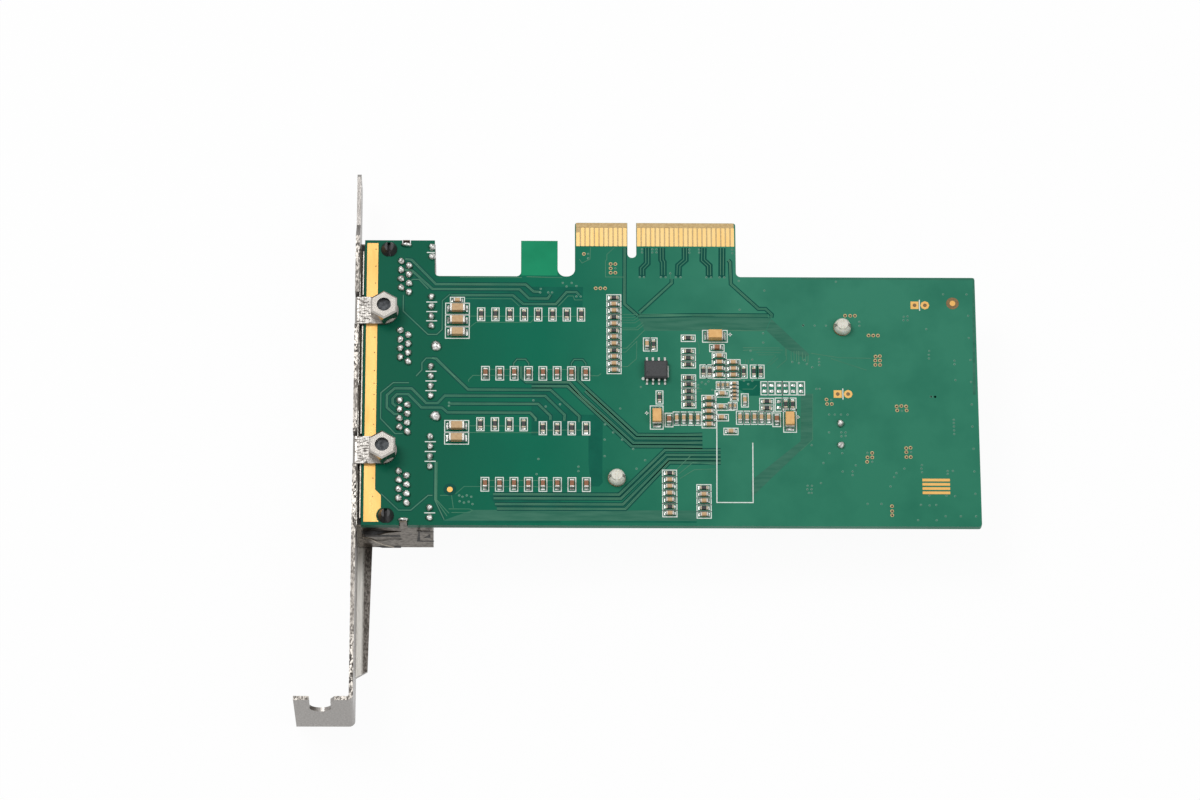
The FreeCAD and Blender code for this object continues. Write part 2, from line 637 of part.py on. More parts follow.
def make_housing():
    """The moulded block with its four stepped sockets, lamp channels and board pegs."""
    body = new_body("Housing")
    block = sketch_on(body, XY, BOARD_BELOW)
    rectangle(block, HOUSING_FRONT, "jack_depth - shield_thickness - rear_space",
              f"{JACK_LOW_Y} + shield_thickness", f"{JACK_HIGH_Y} - shield_thickness")
    pad(body, block, "jack_height - shield_thickness", down=True)
    sockets = sketch_on(body, YZ, HOUSING_FRONT)
    deep = f"({CAVITY_TOP} - cavity_height)"
    for port in PORTS:
        half, latch = "cavity_width / 2", "latch_width / 2"
        outline(sockets, [
            (f"{port} - {half}", CAVITY_TOP), (f"{port} + {half}", CAVITY_TOP),
            (f"{port} + {half}", deep), (f"{port} + {latch}", deep),
            (f"{port} + {latch}", f"{deep} - latch_height"),
            (f"{port} - {latch}", f"{deep} - latch_height"),
            (f"{port} - {latch}", deep), (f"{port} - {half}", deep)])
    pocket(body, sockets, "cavity_depth", back=True)
    channels = sketch_on(body, YZ, HOUSING_FRONT)
    half_width = "(lamp_width / 2 + lamp_clearance)"
    half_height = "(lamp_height / 2 + lamp_clearance)"
    for port in PORTS:
        for side in ("-", "+"):
            middle = f"{port} {side} lamp_offset"
            rectangle(channels, f"{middle} - {half_width}", f"{middle} + {half_width}",
                      f"{LAMP_LEVEL} - {half_height}", f"{LAMP_LEVEL} + {half_height}")
    pocket(body, channels, back=True)
    slots = sketch_on(body, XY, BOARD_BELOW)
    for number in range(8):
        middle = f"{PORTS[-1]} + ({number} - 3.5) * pin_pitch"
        rectangle(slots, "wire_front - 0.3", "pin_row_near + pin_row_step + pin_thickness",
                  f"{middle} - wire_slot / 2", f"{middle} + wire_slot / 2")
    comb = pocket(body, slots, "cavity_floor")
    repeat(body, [comb], "Y_Axis", "port_pitch", "4")
    bores = sketch_on(body, XY, BOARD_BELOW)
    circles(bores, [("ear_reach", stud) for stud in STUDS], "thread_diameter")
    pocket(body, bores, "stud_depth")
    shanks = sketch_on(body, XY, BOARD_BELOW)
    circles(shanks, [("peg_x", place) for place in PEGS], "peg_diameter")
    pad(body, shanks, "board_thickness + plating")
    heads = sketch_on(body, XY, "plating")
    circles(heads, [("peg_x", place) for place in PEGS], "peg_head")
    head = pad(body, heads, "peg_head_height")
    bind(head, TaperAngle="-atan((peg_head - peg_head_top) / 2 / peg_head_height)")
    split = sketch_on(body, XZ)
    rectangle(split, "peg_x - peg_slot / 2", "peg_x + peg_slot / 2", "-board_thickness / 2",
              "plating + peg_head_height + 1")
    pocket(body, split, "3 * shoulder_top", both_ways=True)
    finish(body, "jack_housing")


def make_port_contacts(number):
    """Eight bent wires: a pin through the board, a run forward and a spring bent back."""
    body = new_body("Contacts")
    upper = "(-board_thickness - wire_floor)"
    lower = f"({upper} - wire_thickness)"
    rows = (("pin_row_near", "-2.5"), ("(pin_row_near + pin_row_step)", "-3.5"))
    pads = []
    for pin, first in rows:
        near_face = f"{PORTS[number]} + {first} * pin_pitch + pin_width / 2"
        wire = sketch_on(body, XZ, f"-({near_face})")
        outline(wire, [
            (f"{pin} - pin_thickness / 2", "0"), (f"{pin} + pin_thickness / 2", "0"),
            (f"{pin} + pin_thickness / 2", lower), ("wire_front + 0.9", lower),
            ("wire_tip + 0.1", f"{lower} - wire_rise"),
            ("wire_tip - 0.1", f"{lower} - wire_rise - wire_thickness"),
            ("wire_front + 0.1", f"{lower} - 0.05"), ("wire_front - 0.1", upper),
            (f"{pin} - pin_thickness / 2", upper)])
        pads.append(pad(body, wire, "pin_width"))
    repeat(body, pads, "Y_Axis", "2 * pin_pitch", "4")
    finish(body, f"port_contacts_{number + 1}")


def make_lamps(label, side):
    """The lenses of the indicator lamps on one side of each port."""
    body = new_body("Lamps")
    face = sketch_on(body, YZ, JACK_FRONT)
    for port in PORTS:
        middle = f"{port} {side} lamp_offset"
        rectangle(face, f"{middle} - lamp_width / 2", f"{middle} + lamp_width / 2",
                  f"{LAMP_LEVEL} - lamp_height / 2", f"{LAMP_LEVEL} + lamp_height / 2")
    pad(body, face, "lamp_length")
    front = value(JACK_FRONT)
    break_edges(body, lambda a, b: close(a.x, front) and close(b.x, front), "0.12 * lamp_height")
    finish(body, label)


def make_lamp_leads():
    """Two wires from the back of each lamp, over the block's rear edge and into the board."""
    body = new_body("LampLeads")
    half = "lamp_lead / 2"
    back = f"{JACK_FRONT} + lamp_length"
    pads = []
    for side in ("-", "+"):
        for lead in ("-", "+"):
            middle = f"({PORTS[-1]} {side} lamp_offset {lead} lamp_lead_spacing / 2)"
            wire = sketch_on(body, XZ, f"-({middle} + {half})")
            outline(wire, [
                (back, f"{LAMP_LEVEL} - {half}"), (f"{LAMP_LEAD_X} + {half}", f"{LAMP_LEVEL} - {half}"),
                (f"{LAMP_LEAD_X} + {half}", "0"), (f"{LAMP_LEAD_X} - {half}", "0"),
                (f"{LAMP_LEAD_X} - {half}", f"{LAMP_LEVEL} + {half}"),
                (back, f"{LAMP_LEVEL} + {half}")])
            pads.append(pad(body, wire, "lamp_lead"))
    repeat(body, pads, "Y_Axis", "port_pitch", "4")
    finish(body, "lamp_leads")


# ---- fasteners --------------------------------------------------------------------------------

EAR_TOP = "(plating + sheet_thickness)"


def make_studs():
    length = f"board_thickness + stud_depth + {EAR_TOP} + nut_height - stud_recess"
    studs = [cylinder("thread_diameter", length, "ear_reach", stud,
                      "-board_thickness - stud_depth") for stud in STUDS]
    group("mounting_studs", studs)


def make_nuts():
    body = new_body("Nuts")
    corner = "(nut_flats / sqrt(3))"
    hexagons = sketch_on(body, XY, EAR_TOP)
    for stud in STUDS:
        outline(hexagons, [
            ("ear_reach", f"{stud} - {corner}"), ("ear_reach + nut_flats / 2", f"{stud} - {corner} / 2"),
            ("ear_reach + nut_flats / 2", f"{stud} + {corner} / 2"), ("ear_reach", f"{stud} + {corner}"),
            ("ear_reach - nut_flats / 2", f"{stud} + {corner} / 2"),
            ("ear_reach - nut_flats / 2", f"{stud} - {corner} / 2")])
    pad(body, hexagons, "nut_height")
    bores = sketch_on(body, XY, EAR_TOP)
    circles(bores, [("ear_reach", stud) for stud in STUDS], "thread_diameter")
    pocket(body, bores, back=True)
    # A shallow cone takes the six corners off the top face.
    top = value(f"{EAR_TOP} + nut_height")
    break_edges(body, lambda a, b: close(a.z, top) and close(b.z, top) and not close(a.distanceToPoint(b), 0),
                "nut_chamfer")
    finish(body, "bracket_nuts")


# ---- controller and heat sink -----------------------------------------------------------------

def make_controller():
    body = new_body("Controller")
    carrier = sketch_on(body, XY, f"{BOARD_BELOW} - ball_height")
    half = "controller_size / 2"
    rectangle(carrier, f"controller_x - {half}", f"controller_x + {half}",
              f"controller_y - {half}", f"controller_y + {half}")
    pad(body, carrier, "0.4 * controller_height", down=True)
    lid = sketch_on(body, XY, f"{BOARD_BELOW} - ball_height - 0.4 * controller_height")
    inset = f"({half} - 0.8)"
    rectangle(lid, f"controller_x - {inset}", f"controller_x + {inset}",
              f"controller_y - {inset}", f"controller_y + {inset}")
    pad(body, lid, "0.6 * controller_height", down=True)
    low = value(f"{BOARD_BELOW} - ball_height - controller_height")
    break_edges(body, lambda a, b: close(a.z, low) and close(b.z, low), "0.3 * controller_height")
    finish(body, "controller_chip")


def make_solder_balls():
    """The outer ring of the controller's solder balls."""
    rows = int(value("ball_rows"))
    balls = []
    for column in range(rows):
        for line in range(rows):
            if column not in (0, rows - 1) and line not in (0, rows - 1):
                continue
            ball = doc.addObject("Part::Prism", "Ball")
            ball.Polygon = 6
            bind(ball, Circumradius="ball_diameter / 2", Height="ball_height")
            put(ball, f"controller_x + ({column} - (ball_rows - 1) / 2) * ball_pitch",
                f"controller_y + ({line} - (ball_rows - 1) / 2) * ball_pitch",
                f"{BOARD_BELOW} - ball_height")
            balls.append(ball)
    group("controller_solder_balls", balls)


def make_thermal_pad():
    group("thermal_pad", [centred_box("pad_size", "pad_size", "pad_thickness", "controller_x",
                                      "controller_y", SINK_SEAT)])


def make_heat_sink():
    """An extruded plate with straight fins and two ears for the push pins."""
    body = new_body("HeatSink")
    plate = sketch_on(body, XY, SINK_SEAT)
    rectangle(plate, "controller_x - sink_length / 2", "controller_x + sink_length / 2",
              "controller_y - sink_width / 2", "controller_y + sink_width / 2")
    pad(body, plate, "sink_base", down=True)
    # The ears lie on the line between the two pins.
    span = "sqrt(pin_span_x ^ 2 + pin_span_y ^ 2)"
    side_x, side_y = f"ear_radius * pin_span_y / {span}", f"ear_radius * pin_span_x / {span}"
    arm = sketch_on(body, XY, SINK_SEAT)
    outline(arm, [
        (f"{PUSH_PINS[0][0]} + {side_x}", f"{PUSH_PINS[0][1]} - {side_y}"),
        (f"{PUSH_PINS[1][0]} + {side_x}", f"{PUSH_PINS[1][1]} - {side_y}"),
        (f"{PUSH_PINS[1][0]} - {side_x}", f"{PUSH_PINS[1][1]} + {side_y}"),
        (f"{PUSH_PINS[0][0]} - {side_x}", f"{PUSH_PINS[0][1]} + {side_y}")])
    pad(body, arm, "sink_base", down=True)
    ends = sketch_on(body, XY, SINK_SEAT)
    circles(ends, PUSH_PINS, "2 * ear_radius")
    pad(body, ends, "sink_base", down=True)
    fin = sketch_on(body, XY, f"{SINK_SEAT} - sink_base")
    low = "controller_y - sink_width / 2"
    rectangle(fin, "controller_x - sink_length / 2", "controller_x + sink_length / 2", low,
              f"{low} + fin_thickness")
    first = pad(body, fin, "sink_height - sink_base", down=True)
    repeat(body, [first], "Y_Axis", "(sink_width - fin_thickness) / (fin_count - 1)", "fin_count")
    holes = sketch_on(body, XY, SINK_SEAT)
    circles(holes, PUSH_PINS, "push_hole")
    pocket(body, holes)
    finish(body, "heat_sink")


SPRING_TOP = f"({SINK_SEAT} - sink_base)"
PUSH_HEAD = f"({SPRING_TOP} - spring_length)"


def make_push_pins():
    """Nylon pins: a head under the spring, a shank and a split barb over the board."""
    pins = []
    for x, y in PUSH_PINS:
        head = cylinder("push_head", "push_head_height", x, y, f"{PUSH_HEAD} - push_head_height")
        shank = cylinder("push_shaft", f"-{PUSH_HEAD} + 0.1", x, y, PUSH_HEAD)
        barb = cone("push_tip", "0.6 * push_tip", "push_tip_height", x, y, "0.02")
        split = centred_box("push_slot", "2 * push_tip", "push_tip_height + 2", x, y, "-1.2")
        pins.append(cut(fuse(head, shank, barb), split))
    group("heat_sink_push_pins", pins)


def coil(turns, radius, wire, length):
    """A coil spring wound from short straight runs of five-sided wire, starting at height 0."""
    steps, sides = 10, 5
    rings = []
    for step in range(int(turns * steps) + 1):
        turn = 2 * math.pi * step / steps
        rise = length * step / (turns * steps)
        rings.append([])
        for corner in range(sides):
            lean = 2 * math.pi * corner / sides
            reach = radius + wire * math.cos(lean)
            rings[-1].append(V(reach * math.cos(turn), reach * math.sin(turn),
                               rise + wire * math.sin(lean)))
    faces = [Part.Face(Part.makePolygon(end + end[:1])) for end in (rings[0], rings[-1])]
    for here, there in zip(rings, rings[1:]):
        for corner in range(sides):
            a, b = here[corner - 1], here[corner]
            c, d = there[corner], there[corner - 1]
            faces += [Part.Face(Part.makePolygon([a, b, c, a])),
                      Part.Face(Part.makePolygon([a, c, d, a]))]
    solid = Part.Solid(Part.Shell(faces))
    if solid.Volume < 0:
        solid.reverse()
    return solid


def make_push_springs():
    """Coil springs between the heat sink's ears and the heads of the pins."""
    wire = value("spring_wire") / 2
    length = value("spring_length") - 2 * wire
    coils = []
    for x, y in PUSH_PINS:
        spring = coil(value("spring_turns"), value("spring_diameter") / 2 - wire, wire, length)
        spring.translate(V(value(x), value(y), value(PUSH_HEAD) + wire))
        coils.append(spring)
    springs = doc.addObject("Part::Feature", "Springs")
    springs.Shape = Part.makeCompound(coils)
    finish(springs, "push_pin_springs")


# ---- line transformers ------------------------------------------------------------------------

def make_transformer(number):
    """One port's isolation module with twelve gull-wing leads along each long side."""
    middle = f"(board_edge / 2 + {1.5 - number} * transformer_pitch)"
    body = new_body("Transformer")
    foot = f"({BOARD_BELOW} - transformer_standoff)"
    block = sketch_on(body, XY, foot)
    rectangle(block, "transformer_x - transformer_length / 2",
              "transformer_x + transformer_length / 2", f"{middle} - transformer_width / 2",
              f"{middle} + transformer_width / 2")
    pad(body, block, "transformer_height", down=True)
    low = value(f"{foot} - transformer_height")
    break_edges(body, lambda a, b: close(a.z, low) and close(b.z, low), "0.06 * transformer_height")
    finish(body, f"line_transformer_{number + 1}")
    leads = new_body("TransformerLeads")
    start = "transformer_x - (transformer_leads - 1) / 2 * transformer_lead_pitch - lead_width / 2"
    top = f"({foot} - 0.25 * transformer_height)"
    wings = []
    for outward in ("-", "+"):
        edge = f"{middle} {outward} transformer_width / 2"
        wing = sketch_on(leads, YZ, start)
        outline(wing, [
            (edge, top), (f"{edge} {outward} 0.5 * lead_reach", f"{BOARD_BELOW} - lead_thickness"),
            (f"{edge} {outward} lead_reach", f"{BOARD_BELOW} - lead_thickness"),
            (f"{edge} {outward} lead_reach", BOARD_BELOW),
            (f"{edge} {outward} 0.4 * lead_reach", BOARD_BELOW),
            (edge, f"{top} + lead_thickness")])
        wings.append(pad(leads, wing, "lead_width"))
    repeat(leads, wings, "X_Axis", "transformer_lead_pitch", "transformer_leads")
    finish(leads, f"transformer_leads_{number + 1}")


# ---- crystal and flash memory -----------------------------------------------------------------

def obround(body, width, length, start, height):
    """Pads a round-ended shape at the crystal's place, downwards from start."""
    straight = f"({length} - {width}) / 2"
    middle = sketch_on(body, XY, start)
    rectangle(middle, f"{CRYSTAL_X} - {width} / 2", f"{CRYSTAL_X} + {width} / 2",
              f"crystal_y - {straight}", f"crystal_y + {straight}")
    pad(body, middle, height, down=True)
    ends = sketch_on(body, XY, start)
    circles(ends, [(CRYSTAL_X, f"crystal_y {side} {straight}") for side in "+-"], width)
    return pad(body, ends, height, down=True)


def make_crystal():
    """The crystal's drawn can with its welded rim, and the header that closes it."""
    can = new_body("CrystalCan")
    rim_width = "(crystal_width + 2 * crystal_rim)"
    rim_length = "(crystal_length + 2 * crystal_rim)"
    header = "0.5"
    obround(can, rim_width, rim_length, f"({BOARD_BELOW} - {header})", "0.45")
    obround(can, "crystal_width", "crystal_length", f"({BOARD_BELOW} - {header})",
            f"(crystal_height - {header})")
    low = value(f"{BOARD_BELOW} - crystal_height")
    break_edges(can, lambda a, b: close(a.z, low) and close(b.z, low), "crystal_rim")
    finish(can, "crystal_can")
    plate = centred_box("crystal_width - 0.4", "crystal_length - 2", header, CRYSTAL_X,
                        "crystal_y", f"{BOARD_BELOW} - {header}")
    pins = [cylinder("crystal_pin", "board_thickness + 0.2", x, y, f"{BOARD_BELOW} - 0.2")
            for x, y in CRYSTAL_PINS]
    group("crystal_header", [fuse(plate, *pins)])


def make_memory():
    body = new_body("Memory")
    block = sketch_on(body, XY, "memory_standoff")
    rectangle(block, "memory_x - memory_length / 2", "memory_x + memory_length / 2",
              "memory_y - memory_width / 2", "memory_y + memory_width / 2")
    pad(body, block, "memory_height")
    top = value("memory_standoff + memory_height")
    break_edges(body, lambda a, b: close(a.z, top) and close(b.z, top), "0.2 * memory_height")
    dimple = sketch_on(body, XY, "memory_standoff + memory_height")
    circles(dimple, [("memory_x - 0.35 * memory_length", "memory_y - 0.25 * memory_width")], "0.7")
    pocket(body, dimple, "0.08")
    finish(body, "flash_memory")
    leads = new_body("MemoryLeads")
    reach = "(memory_span - memory_width) / 2"
    wings = []
    for outward in ("-", "+"):
        edge = f"memory_y {outward} memory_width / 2"
        wing = sketch_on(leads, YZ, "memory_x - 1.5 * memory_pitch - lead_width / 2")
        level = "(memory_standoff + 0.5 * memory_height)"
        outline(wing, [
            (edge, level), (f"{edge} {outward} 0.45 * {reach}", level),
            (f"{edge} {outward} 0.6 * {reach}", "0.2"), (f"{edge} {outward} {reach}", "0.2"),
            (f"{edge} {outward} {reach}", "0"), (f"{edge} {outward} 0.45 * {reach}", "0"),
            (f"{edge} {outward} 0.3 * {reach}", f"{level} - 0.2"), (edge, f"{level} - 0.2")])
        wings.append(pad(leads, wing, "lead_width"))
    repeat(leads, wings, "X_Axis", "memory_pitch", "4")
    finish(leads, "flash_memory_leads")


# ---- small parts ------------------------------------------------------------------------------

# kind: length, width and height of one chip
CHIPS = {
    "R": ("small_length", "small_width", "small_resistor_height"),
    "C": ("small_length", "small_width", "small_capacitor_height"),
    "r": ("medium_length", "medium_width", "medium_resistor_height"),
    "c": ("medium_length", "medium_width", "medium_capacitor_height"),
    "L": ("large_length", "large_width", "large_height"),
    "t": ("tiny_length", "tiny_width", "tiny_height"),
    "T": ("tantalum_length", "tantalum_width", "tantalum_height"),
}
CHIP_NODES = {
    "R": "chip_resistors_0603", "C": "chip_capacitors_0603", "r": "chip_resistors_0805",
    "c": "chip_capacitors_0805", "L": "chip_capacitors_1206", "t": "chip_capacitors_0402",
    "T": "tantalum_capacitors",
}
# A run of chips: its kinds in order, the place of the first, the step to the next, and
# whether each chip's long side lies along Y. A space in the kinds is an empty place.
SOLDER_SIDE_RUNS = [
    ("r" * 8, 24.86, 47.53, 3.03, 0, True), ("c" * 8, 25.85, 34.1, 3.03, 0, True),
    ("r" * 4, 24.85, 22.57, 3.04, 0, True), ("r" * 4, 38.0, 21.71, 3.04, 0, True),
    ("c" * 8, 25.87, 9.1, 3.04, 0, True), ("C", 19.8, 50.67, 0, 0, False),
    ("LLL", 19.83, 48.76, 0, -2.72, False), ("LL", 19.86, 22.09, 0, -2.72, False),
    ("RCCRCRCCRCCC", 53.05, 51.39, 0, -1.506, False), ("CR", 60.03, 40.76, 1.43, 0, True),
    ("R", 62.62, 28.74, 0, 0, True), ("R RRR RRRRR", 68.8, 42.21, 0, -1.511, False),
    ("T", 62.0, 24.2, 0, 0, True), ("c", 64.6, 23.65, 0, 0, True),
    ("CCCC", 66.2, 23.99, 1.48, 0, True), ("CCCCC", 73.05, 28.52, 0, -1.475, False),
    ("T", 74.47, 42.68, 0, 0, False), ("c", 74.85, 40.0, 0, 0, False),
    ("CCCC", 75.34, 38.14, 0, -1.453, False), ("CCC", 78.25, 36.65, 0, -1.435, False),
    ("RR", 71.97, 34.68, 1.31, 0, True), ("R", 80.48, 34.68, 0, 0, True),
    ("RR", 82.62, 34.68, 1.46, 0, True), ("ttt", 75.1, 31.52, 0.96, 0, True),
    ("ttttt", 78.43, 31.97, 0, -0.875, False), ("C", 75.87, 29.6, 0, 0, False),
    ("C", 75.6, 26.6, 0, 0, False), ("C", 75.64, 24.22, 0, 0, False),
    ("tt", 77.6, 26.85, 0.95, 0, True), ("C", 80.64, 28.13, 0, 0, True),
    ("C", 77.63, 21.12, 0, 0, False), ("RR", 85.27, 27.89, 0, -1.53, False),
    ("RR", 89.28, 27.21, 1.45, 0, True), ("CCCCC", 79.55, 24.22, 1.515, 0, True),
    ("c", 87.3, 23.77, 0, 0, True), ("T", 90.1, 23.6, 0, 0, True),
    ("RCCCCRC", 64.62, 11.67, 0, -1.495, False), ("RCCRC", 71.8, 8.44, 0, -1.505, False),
]
# The hidden face has the larger decoupling capacitors of such a card and a few resistors.
COMPONENT_SIDE_RUNS = [
    ("cccc", 60.0, 51.0, 3.2, 0, True), ("cc", 104.0, 33.5, 0, -2.6, False),
    ("CCCCC", 57.0, 47.8, 1.7, 0, True), ("RRRR", 112.5, 26.0, 1.7, 0, True),
    ("LL", "board_length - 9.5", 45.0, 0, -2.8, False),
    ("LL", "board_length - 9.5", 35.5, 0, -2.8, False),
    ("RRRR", 37.2, 62.6, 0, -1.5, False), ("CCCC", 44.5, 44.0, 0, -1.6, False),
    ("CCCC", 44.5, 28.0, 0, -1.6, False), ("CCCC", 44.5, 12.0, 0, -1.6, False),
]


def make_chips():
    nodes = {kind: [] for kind in CHIPS}
    hidden = []
    for runs, below in ((SOLDER_SIDE_RUNS, False), (COMPONENT_SIDE_RUNS, True)):
        for kinds, x, y, step_x, step_y, turned in runs:
            for number, kind in enumerate(kinds):
                if kind == " ":
                    continue
                length, width, height = CHIPS[kind]
                along_x, along_y = (width, length) if turned else (length, width)
                base = f"{BOARD_BELOW} - {height}" if below else "0"
                chip = centred_box(along_x, along_y, height, f"{x} + {number * step_x:.3f}",
                                   f"{y} + {number * step_y:.3f}", base)
                (hidden if below else nodes[kind]).append(chip)
    for kind, label in CHIP_NODES.items():
        group(label, nodes[kind])
    group("component_side_chips", hidden)


def make_power_parts():
    """Two storage inductors and the regulator that feeds the controller, on the hidden face."""
    inductors = []
    for y in ("43.6", "34.1"):
        body = new_body("Inductor")
        face = sketch_on(body, XY, BOARD_BELOW)
        half = "inductor_size / 2"
        rectangle(face, f"112 - {half}", f"112 + {half}", f"{y} - {half}", f"{y} + {half}")
        pad(body, face, "inductor_height", down=True)
        corners = upright_at(*[(f"112 {a} {half}", f"{y} {b} {half}") for a in "+-" for b in "+-"])
        break_edges(body, corners, "0.2 * inductor_size")
        inductors.append(body)
    group("power_inductors", inductors)
    body = new_body("Regulator")
    face = sketch_on(body, XY, f"{BOARD_BELOW} - 0.05")
    rectangle(face, "114 - regulator_length / 2", "114 + regulator_length / 2",
              "13 - regulator_width / 2", "13 + regulator_width / 2")
    pad(body, face, "regulator_height", down=True)
    low = value(f"{BOARD_BELOW} - 0.05 - regulator_height")
    break_edges(body, lambda a, b: close(a.z, low) and close(b.z, low), "0.15 * regulator_height")
    finish(body, "voltage_regulator")
    leads = [centred_box("0.7", "1.75", "0.25", f"114 + {step} * 2.3",
                         "13 - regulator_width / 2 - 0.875", f"{BOARD_BELOW} - 0.25")
             for step in (-1, 0, 1)]
    leads.append(centred_box("3", "1.75", "0.25", "114", "13 + regulator_width / 2 + 0.875",
                             f"{BOARD_BELOW} - 0.25"))
    group("voltage_regulator_leads", leads)


# ---- solder joints ----------------------------------------------------------------------------

def heap(base, top, height, x, y):
    """A six-sided heap of solder that narrows from base to top."""
    turns = [math.pi * number / 3 for number in range(6)]
    low, high = ([V(value(across) / 2 * math.cos(turn), value(across) / 2 * math.sin(turn),
                    value(level)) for turn in turns] for across, level in ((base, "0"),
                                                                           (top, height)))
    rims = [low, high] + [[low[n - 1], low[n], high[n], high[n - 1]] for n in range(6)]
    solid = Part.Solid(Part.Shell([Part.Face(Part.makePolygon(rim + rim[:1])) for rim in rims]))
    if solid.Volume < 0:
        solid.reverse()
    solder = doc.addObject("Part::Feature", "Heap")
    solder.Shape = solid
    return put(solder, x, y)


def joints(places):
    return [heap("joint_diameter", "joint_top", "joint_height", x, y) for x, y in places]


def make_joints():
    group("jack_solder_joints", joints(jack_pins(True) + jack_pins(False)))
    group("lamp_solder_joints", joints(lamp_pins()))
    group("crystal_solder_joints", joints(CRYSTAL_PINS))
    big = ("big_joint_diameter", "big_joint_top", "big_joint_height")
    shield = [heap(*big, REAR_TAB_X, port) for port in PORTS[1:3]]
    face = "(jack_margin + shield_thickness)"
    for y, beyond in ((face, "-3"), (f"(shoulder_top - {face})", "0")):
        away = box("6", "3", "3", "side_tab_x - 3", f"{y} + {beyond}", "-1")
        shield.append(cut(heap(*big, "side_tab_x", y), away))
    group("shield_solder_joints", shield)


# ---- the card ---------------------------------------------------------------------------------

def build():
    make_board()
    make_edge_contacts("edge_contacts_solder_side", "0", (0,))
    make_edge_contacts("edge_contacts_component_side", f"{BOARD_BELOW} - plating", (16, 30))
    make_ground_strip()
    make_bare_pads()
    make_bracket()
    make_shield()
    make_housing()
    for number in range(4):
        make_port_contacts(number)
        make_transformer(number)
    make_lamps("link_lamps", "+")
    make_lamps("activity_lamps", "-")
    make_lamp_leads()
    make_studs()
    make_nuts()
    make_controller()
    make_solder_balls()
    make_thermal_pad()
    make_heat_sink()
    make_push_pins()
    make_push_springs()
    make_crystal()
    make_memory()
    make_chips()
    make_power_parts()
    make_joints()
    doc.recompute()


def check_and_write():
    """Writes each sub-part as a STEP file once every object of the document is sound."""
    for thing in doc.Objects:
        if "Invalid" in thing.State or "Error" in thing.State:
            raise RuntimeError(f"{thing.Name} of {thing.Label} failed: {thing.State}")
    os.makedirs("parts", exist_ok=True)
    for node in NODES:
        if node.Shape.isNull() or not node.Shape.isValid():
            raise RuntimeError(f"{node.Label} has no sound shape")
        node.Shape.exportStep(f"parts/{node.Label}.step")
        print(f"{node.Label}: {len(node.Shape.Solids)} solids, {node.Shape.Volume:.1f} mm3")


build()
check_and_write()
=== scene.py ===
"""Dresses the network interface card: board artwork, solder, small parts, metal and plastic."""
import math
import random

import bmesh
import bpy
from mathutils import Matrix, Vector


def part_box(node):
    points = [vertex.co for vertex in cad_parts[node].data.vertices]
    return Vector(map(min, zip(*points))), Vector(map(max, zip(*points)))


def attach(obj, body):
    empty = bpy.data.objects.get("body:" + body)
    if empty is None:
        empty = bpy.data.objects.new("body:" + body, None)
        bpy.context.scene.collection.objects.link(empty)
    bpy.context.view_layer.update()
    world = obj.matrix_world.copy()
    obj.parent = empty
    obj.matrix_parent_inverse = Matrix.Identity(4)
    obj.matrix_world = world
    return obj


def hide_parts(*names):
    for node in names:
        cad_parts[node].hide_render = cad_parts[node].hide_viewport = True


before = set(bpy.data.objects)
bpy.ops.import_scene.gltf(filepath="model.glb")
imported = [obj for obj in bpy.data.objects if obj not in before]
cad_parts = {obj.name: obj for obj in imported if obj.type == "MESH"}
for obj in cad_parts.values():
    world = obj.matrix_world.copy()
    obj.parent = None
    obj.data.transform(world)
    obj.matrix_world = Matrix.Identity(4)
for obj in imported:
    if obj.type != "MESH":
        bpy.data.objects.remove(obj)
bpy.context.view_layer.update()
MM = 0.001
BOARD_LOW, BOARD_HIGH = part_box("printed_circuit_board")
rng = random.Random(7)


def at(x, y, z=0.0):
    """A place in millimetres from the board's bracket corner, z up from its solder face."""
    return Vector((BOARD_LOW.x + x * MM, BOARD_LOW.y + y * MM, BOARD_HIGH.z + z * MM))


# ---- materials --------------------------------------------------------------------------------

MASK_SHEEN = {"Specular_IOR_Level": 0.1}
FACING_UP = (0.8, 0.9)


def linear(red, green, blue):
    """A colour given as it shows on a screen, 0 to 255."""
    def channel(value):
        value /= 255
        return value / 12.92 if value <= 0.04045 else ((value + 0.055) / 1.055) ** 2.4
    return channel(red), channel(green), channel(blue), 1.0


